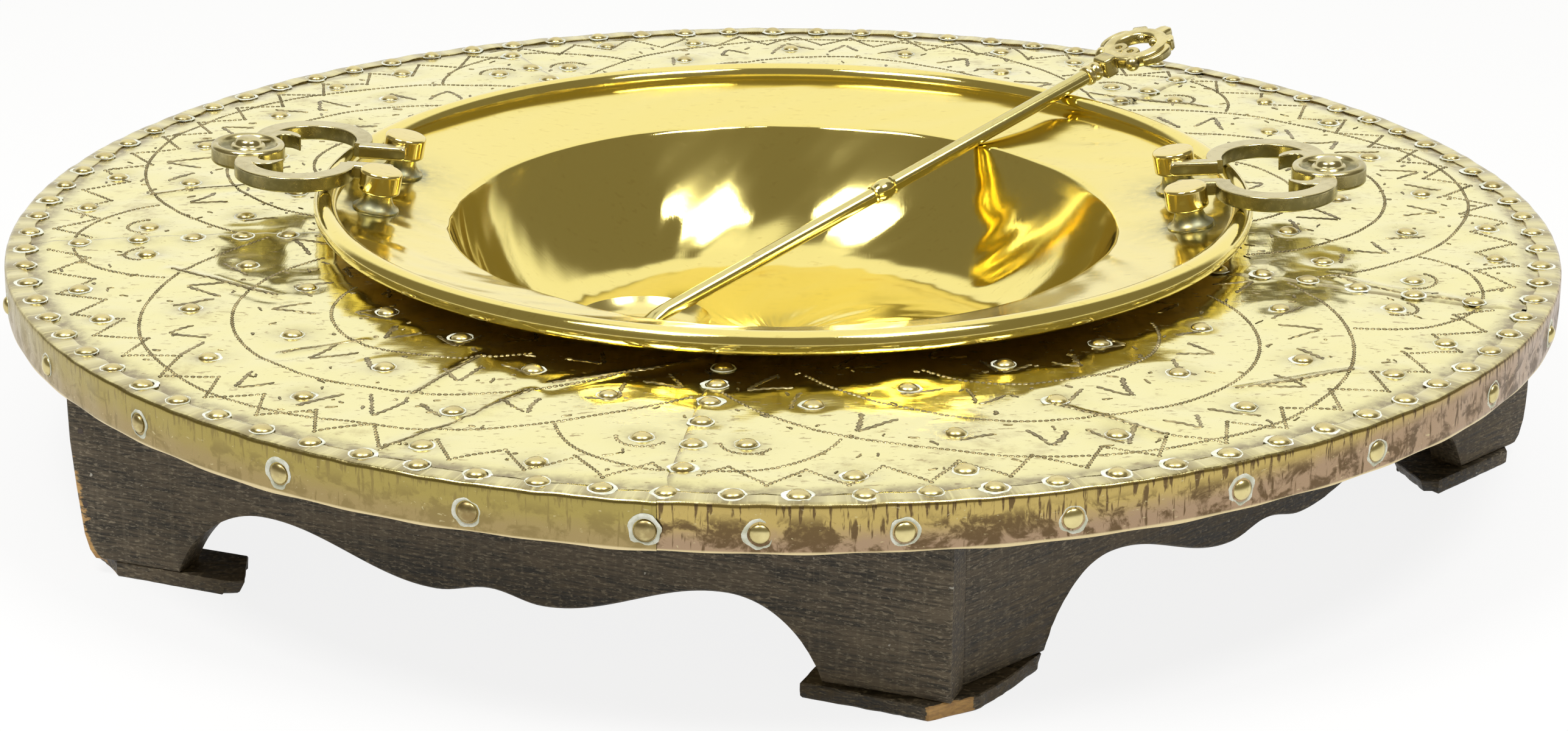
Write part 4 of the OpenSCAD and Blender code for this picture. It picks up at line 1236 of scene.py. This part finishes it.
def add_handle(name, body, direction):
    """Cast handle: two bars with pins, two open scrolls with a beak, and a ringed middle disc."""
    parts, grime_and_shade = [], []

    # cast paints each part darker below lit_above: painted shade on the sides below the lit top faces, with some
    # grime.
    def cast(part, lit_above, dirt_and_shade):
        verts, _ = part
        grime_and_shade.extend(dirt_and_shade * (1 - smooth(z, lit_above - 0.9, lit_above)) for _, _, z in verts)
        parts.append(part)

    bar = rounded_section(9, 9, 1.8, 4)
    for side in (-1, 1):
        y = side * BAR_Y
        ends = [(-4.4, 0.55), (-3.6, 0.86), (-2.0, 0.98), (0, 1.0), (8, 1.0), (16, 1.0), (22, 1.0), (25, 0.98)]
        cast(swept([(x, y, 0) for x, _ in ends], bar, [(1, s) for _, s in ends]), 2.6, 0.4)
        pin = turned([(0, 0), (PIN_R, 0), (PIN_R, PIN_L), (0, PIN_L)], 20)
        cast(moved(pin, standing((0, side * PIN_Y, 0), (0, side, 0))), 2.6, 0.4)
        turns = np.radians(np.linspace(190, -27, SCROLL_N))
        path = [(SCROLL_X + SCROLL_R * math.cos(a), side * (SCROLL_Y + SCROLL_R * math.sin(a)), 0) for a in turns]
        bulge = [math.sin(math.pi * k / (SCROLL_N - 1)) for k in range(SCROLL_N)]
        swell = [(0.8 + 0.3 * b, 0.97 + 0.06 * b) for b in bulge]
        cast(swept(path, rounded_section(11.5, 9.2, 1.0), swell), 4.4, 0.85)
        beak = [(85, 17), (85.5, 22), (84, 27.5), (80, 31.8), (74.5, 33), (69.5, 31), (66, 27.5), (64.4, 24.5)]
        taper = [1.0, 1.0, 0.98, 0.9, 0.74, 0.52, 0.3, 0.08]
        hook = swept([(x, side * v, 0) for x, v in beak], rounded_section(11, 9, 1.0), [(s, 1.0) for s in taper])
        cast(hook, 4.3, 0.85)
    disc = [(0, -6), (20.6, -6), (22.2, -5.5), (23, -4.4), (23, -3.6), (23, 3.2), (23, 4.0), (22.6, 5.0), (21.8, 5.8)]
    disc += [(20.8, 6.2), (19.6, 6.2), (18.6, 5.7), (17.9, 4.8), (17.3, 3.9), (16.4, 3.4), (15.0, 3.3), (11.8, 3.4)]
    disc += [(10.9, 3.9), (10.5, 4.8), (9.8, 5.2), (8.9, 5.2), (8.4, 5.6), (8.1, 6.8)]
    disc += [(7.1, 8.4), (5.2, 9.5), (2.8, 10), (0, 10.1)]
    boss = moved(turned(disc, 56), standing((DISC_X, 0, 0), (0, 0, 1)))
    parts.append(boss)
    for x, y, z in boss[0]:
        d = math.hypot(x - DISC_X, y)
        # The disc's recess is darkened with grime; its side below the rim gets painted shade.
        recess = smooth(d, 10.2, 11.2) * (1 - smooth(d, 16.6, 18.2)) if z > 2 else 0.0
        grime_and_shade.append(max(recess, 0.55 * (1 - smooth(z, 3.0, 4.6)) if d > 19 else 0.0))
    verts, faces = joined(parts)
    seat = (
        Matrix.Rotation(math.radians(direction), 4, "Z")
        @ Matrix.Translation(Vector((PIVOT_R, 0, PIVOT_Z)) * MM)
        @ Matrix.Rotation(math.radians(-REST_TILT), 4, "Y")
    )
    piece(name, verts, faces, body, handle_brass, [name.lower()], 42, seat, {"grime_and_shade": grime_and_shade})


# Shovel

ROD_PLACE = (
    Matrix.Rotation(math.radians(ROD_DIR), 4, "Z")
    @ Matrix.Translation(Vector((ROD_END_S, ROD_OFF, ROD_END_Z)) * MM)
    @ Matrix.Rotation(math.radians(-ROD_SLOPE), 4, "Y")
)
UNDER_ROD = Matrix.Rotation(math.radians(ROD_DIR), 4, "Z") @ Matrix.Translation(Vector((0, ROD_OFF, 0)) * MM)
BLADE_S = ROD_END_S - 18
BLADE_T = 1.6
BLADE_H = 8.0


def add_rod():
    """Round rod with a turned bead at its middle, flattened to a tang on the blade."""
    slope = math.tan(math.radians(ROD_SLOPE))
    top = BLADE_Z + BLADE_T
    flat_l = ROD_L * math.cos(math.radians(ROD_SLOPE))
    path, size = [], []
    for k in range(40, 1, -1):
        s = ROD_END_S + flat_l * k / 40
        path.append((s, 0, ROD_END_Z + (s - ROD_END_S) * slope))
        size.append((1.0, 1.0))
    tang = [(0, 0.6, 1.05, 0.95), (-8, 0.2, 1.2, 0.8), (-16, 0, 1.4, 0.55)]
    tang += [(-26, 0, 1.55, 0.33), (-38, 0, 1.55, 0.29), (-46, 0, 1.4, 0.27)]
    for s, rise, wide, tall in tang:
        height = top + ROD_R * tall
        if s > -14:
            height = max(height, ROD_END_Z + s * slope + rise)
        path.append((ROD_END_S + s, 0, height))
        size.append((wide, tall))
    circle = [(ROD_R * math.cos(a), ROD_R * math.sin(a)) for a in np.linspace(0, 2 * math.pi, 24, endpoint=False)]
    verts, faces = swept(path, circle, size)
    middle = ROD_END_S + ROD_L / 2 * math.cos(math.radians(ROD_SLOPE))
    bead = [(5.2, -9), (6.2, -8.2), (6.3, -7.2), (5.5, -6.4), (6.4, -4.6), (7.1, -2.2), (7.2, 0)]
    bead += [(r, -z) for r, z in bead[-2::-1]]
    along = (math.cos(math.radians(ROD_SLOPE)), 0, math.sin(math.radians(ROD_SLOPE)))
    bead = moved(turned(bead, 32), standing((middle, 0, ROD_END_Z + (middle - ROD_END_S) * slope), along))
    verts, faces = joined([(verts, faces), bead])
    piece("Shovel_rod", verts, faces, "shovel", rod_brass, ["shovel_rod"], 40, UNDER_ROD)


def torus(r, wide, high, count=48, around=20):
    """Ring about Z with a squarish section of the given half sizes."""
    verts = []
    for a in np.linspace(0, 2 * math.pi, count, endpoint=False):
        for b in np.linspace(0, 2 * math.pi, around, endpoint=False):
            c, s = math.cos(b), math.sin(b)
            d = r + wide * math.copysign(abs(c) ** 0.65, c)
            verts.append((d * math.cos(a), d * math.sin(a), high * math.copysign(abs(s) ** 0.65, s)))
    faces = []
    for i in range(count):
        for j in range(around):
            k, m = (i + 1) % count, (j + 1) % around
            faces.append([i * around + j, k * around + j, k * around + m, i * around + m])
    return verts, faces


def ball(r):
    return turned([(r * math.sin(a), -r * math.cos(a)) for a in np.linspace(0, math.pi, 11)], 20)


def add_finial():
    """Cast end of the shovel: collars, block, crosspiece and an open ring with volutes and knobs."""
    x0 = ROD_L
    c = x0 + 26 + 19
    neck = [(0, -1.5), (5.6, -1.5), (6.6, -0.8), (7, 0.6), (7, 2.8), (6.4, 3.8), (5.2, 4.4), (5.4, 5.2), (6.5, 6.4)]
    neck += [(6.7, 8.2), (6.2, 10), (4.9, 11.2), (4.6, 12.2), (4.6, 13.4), (0, 13.4)]
    upright = (0, 0, 1)
    parts = [moved(turned(neck, 32), standing((x0, 0, 0), (1, 0, 0)))]

    def bar(path, w, h, r, scales=None):
        parts.append(swept(path, rounded_section(w, h, r), scales))

    block = [(12.2, 0.84), (13.0, 0.96), (14, 1), (20, 1), (22.2, 0.96), (23, 0.84)]
    bar([(x0 + d, 0, 0) for d, _ in block], 13.6, 13.6, 1.4, [(w, w) for _, w in block])
    bar([(x0 + d, 0, 0) for d in (22, 25, 29)], 9, 8, 2.4)
    across = [(0.7, 0.8), (1, 1), (1, 1), (1, 1), (0.7, 0.8)]
    bar([(x0 + 28.5, d, 0) for d in (-13, -9, 0, 9, 13)], 7.6, 8.4, 2.0, across)
    parts.append(moved(torus(18.6, 4.6, 4.6), standing((c, 0, 0), upright)))
    for side in (-1, 1):
        parts.append(moved(ball(5.2), standing((x0 + 28, side * 15.6, 0), upright)))
        parts.append(moved(torus(4.2, 2.5, 3.8, 24, 12), standing((c - 9.6, side * 6.0, 0.6), upright)))
        parts.append(moved(ball(3.2), standing((c + 10.6, side * 6.2, 1.2), upright)))
        curl = [(c - 1 + 11 * math.cos(a), side * (20.5 + 5.5 * math.sin(a)), 0) for a in np.linspace(-0.5, 2.9, 14)]
        bar(curl, 5.2, 7.4, 1.6, [(1 - 0.45 * k / 13, 1 - 0.35 * k / 13) for k in range(14)])
        out = np.array([math.cos(0.72), side * math.sin(0.72), 0])
        knob = [tuple(np.array([c, 0, 0]) + out * d) for d in (17, 20, 24.5, 26.2)]
        bar(knob, 10.5, 8.6, 1.6, [(0.9, 0.9), (1, 1), (1, 1), (0.7, 0.75)])
    tip = [(1, 1), (1, 1), (0.95, 0.95), (0.75, 0.8), (0.4, 0.5)]
    bar([(c + d, 0, 0) for d in (19, 23, 27, 29.5, 31)], 10, 8, 2, tip)
    verts, faces = joined(parts)
    grime_and_shade = []
    # Painted shade: past the neck, the finial is darker low down, below its lit upper faces; the block is painted
    # darker as well.
    for x, _, z in verts:
        block_darkening = 0.5 * smooth(x, x0 + 11.5, x0 + 12.4) * (1 - smooth(x, x0 + 23, x0 + 25))
        grime_and_shade.append(max(0.8 * (1 - smooth(z, 1.6, 3.4)), block_darkening) * smooth(x, x0 + 10, x0 + 12))
    piece(
        "Shovel_finial", verts, faces, "shovel", finial_brass, ["shovel_finial"], 42,
        ROD_PLACE, {"grime_and_shade": grime_and_shade},
    )


def add_blade():
    """Shallow round blade with a turned-up edge."""
    flat, edge = BLADE_R - 12, BLADE_T * 1.2
    profile = [(0, 0), (flat, 0), (flat + 3.5, 0.7), (flat + 7, 2.5), (flat + 10, 5.2), (BLADE_R, BLADE_H)]
    profile += [(BLADE_R + 0.1, BLADE_H + 1.2), (BLADE_R - 0.7, BLADE_H + edge), (flat + 8.8, 5.4 + edge)]
    profile += [(flat + 6, 2.5 + edge), (flat + 3, 0.6 + edge), (flat - 0.5, BLADE_T), (flat * 0.6, BLADE_T)]
    profile += [(0, BLADE_T)]
    verts, faces = turned(profile, 72)
    seat = UNDER_ROD @ Matrix.Translation(Vector((BLADE_S, 0, BLADE_Z)) * MM)
    piece("Shovel_blade", verts, faces, "shovel", blade_brass, ["shovel_blade"], 40, seat)


# The whole brazier

for number in range(5):
    add_sheet(number)
    add_apron(number)
    add_shoe(number)
add_ornament()
add_all_nails()
add_band("Left_band", BAND_JOINT - 180, BAND_JOINT, band_left_brass)
add_band("Right_band", BAND_JOINT - 0.6, BAND_JOINT + 180, band_right_brass)
add_pan()
add_stud("Left_near_stud", LEFT_DIR, 1)
add_stud("Left_far_stud", LEFT_DIR, -1)
add_stud("Right_near_stud", RIGHT_DIR, -1)
add_stud("Right_far_stud", RIGHT_DIR, 1)
add_handle("Left_handle", "left_bow", LEFT_DIR)
add_handle("Right_handle", "right_bow", RIGHT_DIR)
add_rod()
add_finial()
add_blade()

bare = [("top_board_%d" % k, top_wood) for k in range(1, 6)]
bare += [("corner_nails", iron), ("rim_wire", iron), ("stud_washers", stud_brass), ("blade_rivets", blade_brass)]
for node, material in bare:
    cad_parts[node].data.materials.clear()
    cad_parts[node].data.materials.append(material)


# Floor, light and camera


def add_floor():
    """Pale floor that the camera and the metal see as nearly white, with the object's shadow on it."""
    mesh = bpy.data.meshes.new("Floor")
    mesh.from_pydata([(-9, -9, 0), (9, -9, 0), (9, 9, 0), (-9, 9, 0)], [], [[0, 1, 2, 3]])
    mat, tree, shader = fresh("Pale floor")
    shader.inputs["Base Color"].default_value = (0.9, 0.9, 0.89, 1)
    shader.inputs["Roughness"].default_value = 0.9
    shader.inputs["Specular IOR Level"].default_value = 0.0
    white = tree.nodes.new("ShaderNodeEmission")
    white.inputs["Color"].default_value = (1, 1, 1, 1)
    seen = tree.nodes.new("ShaderNodeLightPath").outputs
    rays = math_node(tree, "MAXIMUM", seen["Is Camera Ray"], seen["Is Glossy Ray"])
    rays = math_node(tree, "MAXIMUM", rays, seen["Is Transmission Ray"])
    both = tree.nodes.new("ShaderNodeMixShader")
    link(tree, math_node(tree, "MULTIPLY", rays, 0.86), both.inputs[0])
    link(tree, shader.outputs[0], both.inputs[1])
    link(tree, white.outputs[0], both.inputs[2])
    out = next(n for n in tree.nodes if n.type == "OUTPUT_MATERIAL")
    link(tree, both.outputs[0], out.inputs["Surface"])
    mesh.materials.append(mat)
    obj = bpy.data.objects.new("Floor", mesh)
    bpy.context.scene.collection.objects.link(obj)


def add_softbox(name, target, direction, distance):
    """Soft lamp at a distance from a target, facing it."""
    lamp = bpy.data.lights.new(name, "AREA")
    lamp.shape = "RECTANGLE"
    lamp.size, lamp.size_y, lamp.energy = 0.95, 0.68, 30
    obj = bpy.data.objects.new(name, lamp)
    d = Vector(direction).normalized()
    obj.location = Vector(target) + d * distance
    obj.rotation_euler = d.to_track_quat("Z", "Y").to_euler()
    obj.visible_camera = False
    bpy.context.scene.collection.objects.link(obj)


def add_world():
    """Pale studio walls behind the object, darker room on the camera's side."""
    world = bpy.data.worlds.new("Studio")
    bpy.context.scene.world = world
    world.use_nodes = True
    tree = world.node_tree
    tree.nodes.clear()
    out = tree.nodes.new("ShaderNodeOutputWorld")
    back = tree.nodes.new("ShaderNodeBackground")
    link(tree, back.outputs[0], out.inputs["Surface"])
    axes = tree.nodes.new("ShaderNodeSeparateXYZ")
    link(tree, tree.nodes.new("ShaderNodeTexCoord").outputs["Generated"], axes.inputs[0])
    rise = axes.outputs["Z"]
    level = math_node(tree, "SQRT", math_node(tree, "SUBTRACT", 1.0001, math_node(tree, "MULTIPLY", rise, rise)))
    behind = mapped(tree, math_node(tree, "DIVIDE", axes.outputs["Y"], level), 0.5, 0.7)
    room = math_node(tree, "MAXIMUM", behind, mapped(tree, rise, 0.925, 0.965))
    walls = mixed(tree, room, (0.21, 0.185, 0.12), (1.0, 0.99, 0.95))
    seen = tree.nodes.new("ShaderNodeLightPath").outputs["Is Camera Ray"]
    link(tree, mixed(tree, seen, walls, (1, 1, 1)), back.inputs["Color"])


def add_camera():
    """Camera at the photograph's angle."""
    lean, yaw, roll = math.radians(19.91), math.radians(0.96), math.radians(0.35)
    aim_x, aim_y, away = 35.02, -273.51, 1869.45
    cam = bpy.data.cameras.new("Camera")
    cam.sensor_width, cam.sensor_fit, cam.lens = 36.0, "HORIZONTAL", 78.29
    turn = Matrix.Rotation(yaw, 3, "Z")
    ahead = turn @ Vector((0, math.cos(lean), -math.sin(lean)))
    right = turn @ Vector((1, 0, 0))
    up = right.cross(ahead)
    right, up = math.cos(roll) * right + math.sin(roll) * up, math.cos(roll) * up - math.sin(roll) * right
    view = Matrix((right, up, -ahead)).transposed().to_4x4()
    view.translation = Vector((aim_x, aim_y - away * math.cos(lean), STAND_H + away * math.sin(lean))) * MM
    obj = bpy.data.objects.new("Camera", cam)
    obj.matrix_world = view
    bpy.context.scene.collection.objects.link(obj)
    bpy.context.scene.camera = obj


add_floor()
add_world()
for name, side in (("Left softbox", -1), ("Right softbox", 1)):
    add_softbox(name, target=(0, 0.17, 0.09), direction=(side * 0.36, -0.40, 0.843), distance=2.6)
add_camera()
bpy.context.scene.view_settings.view_transform = "Standard"
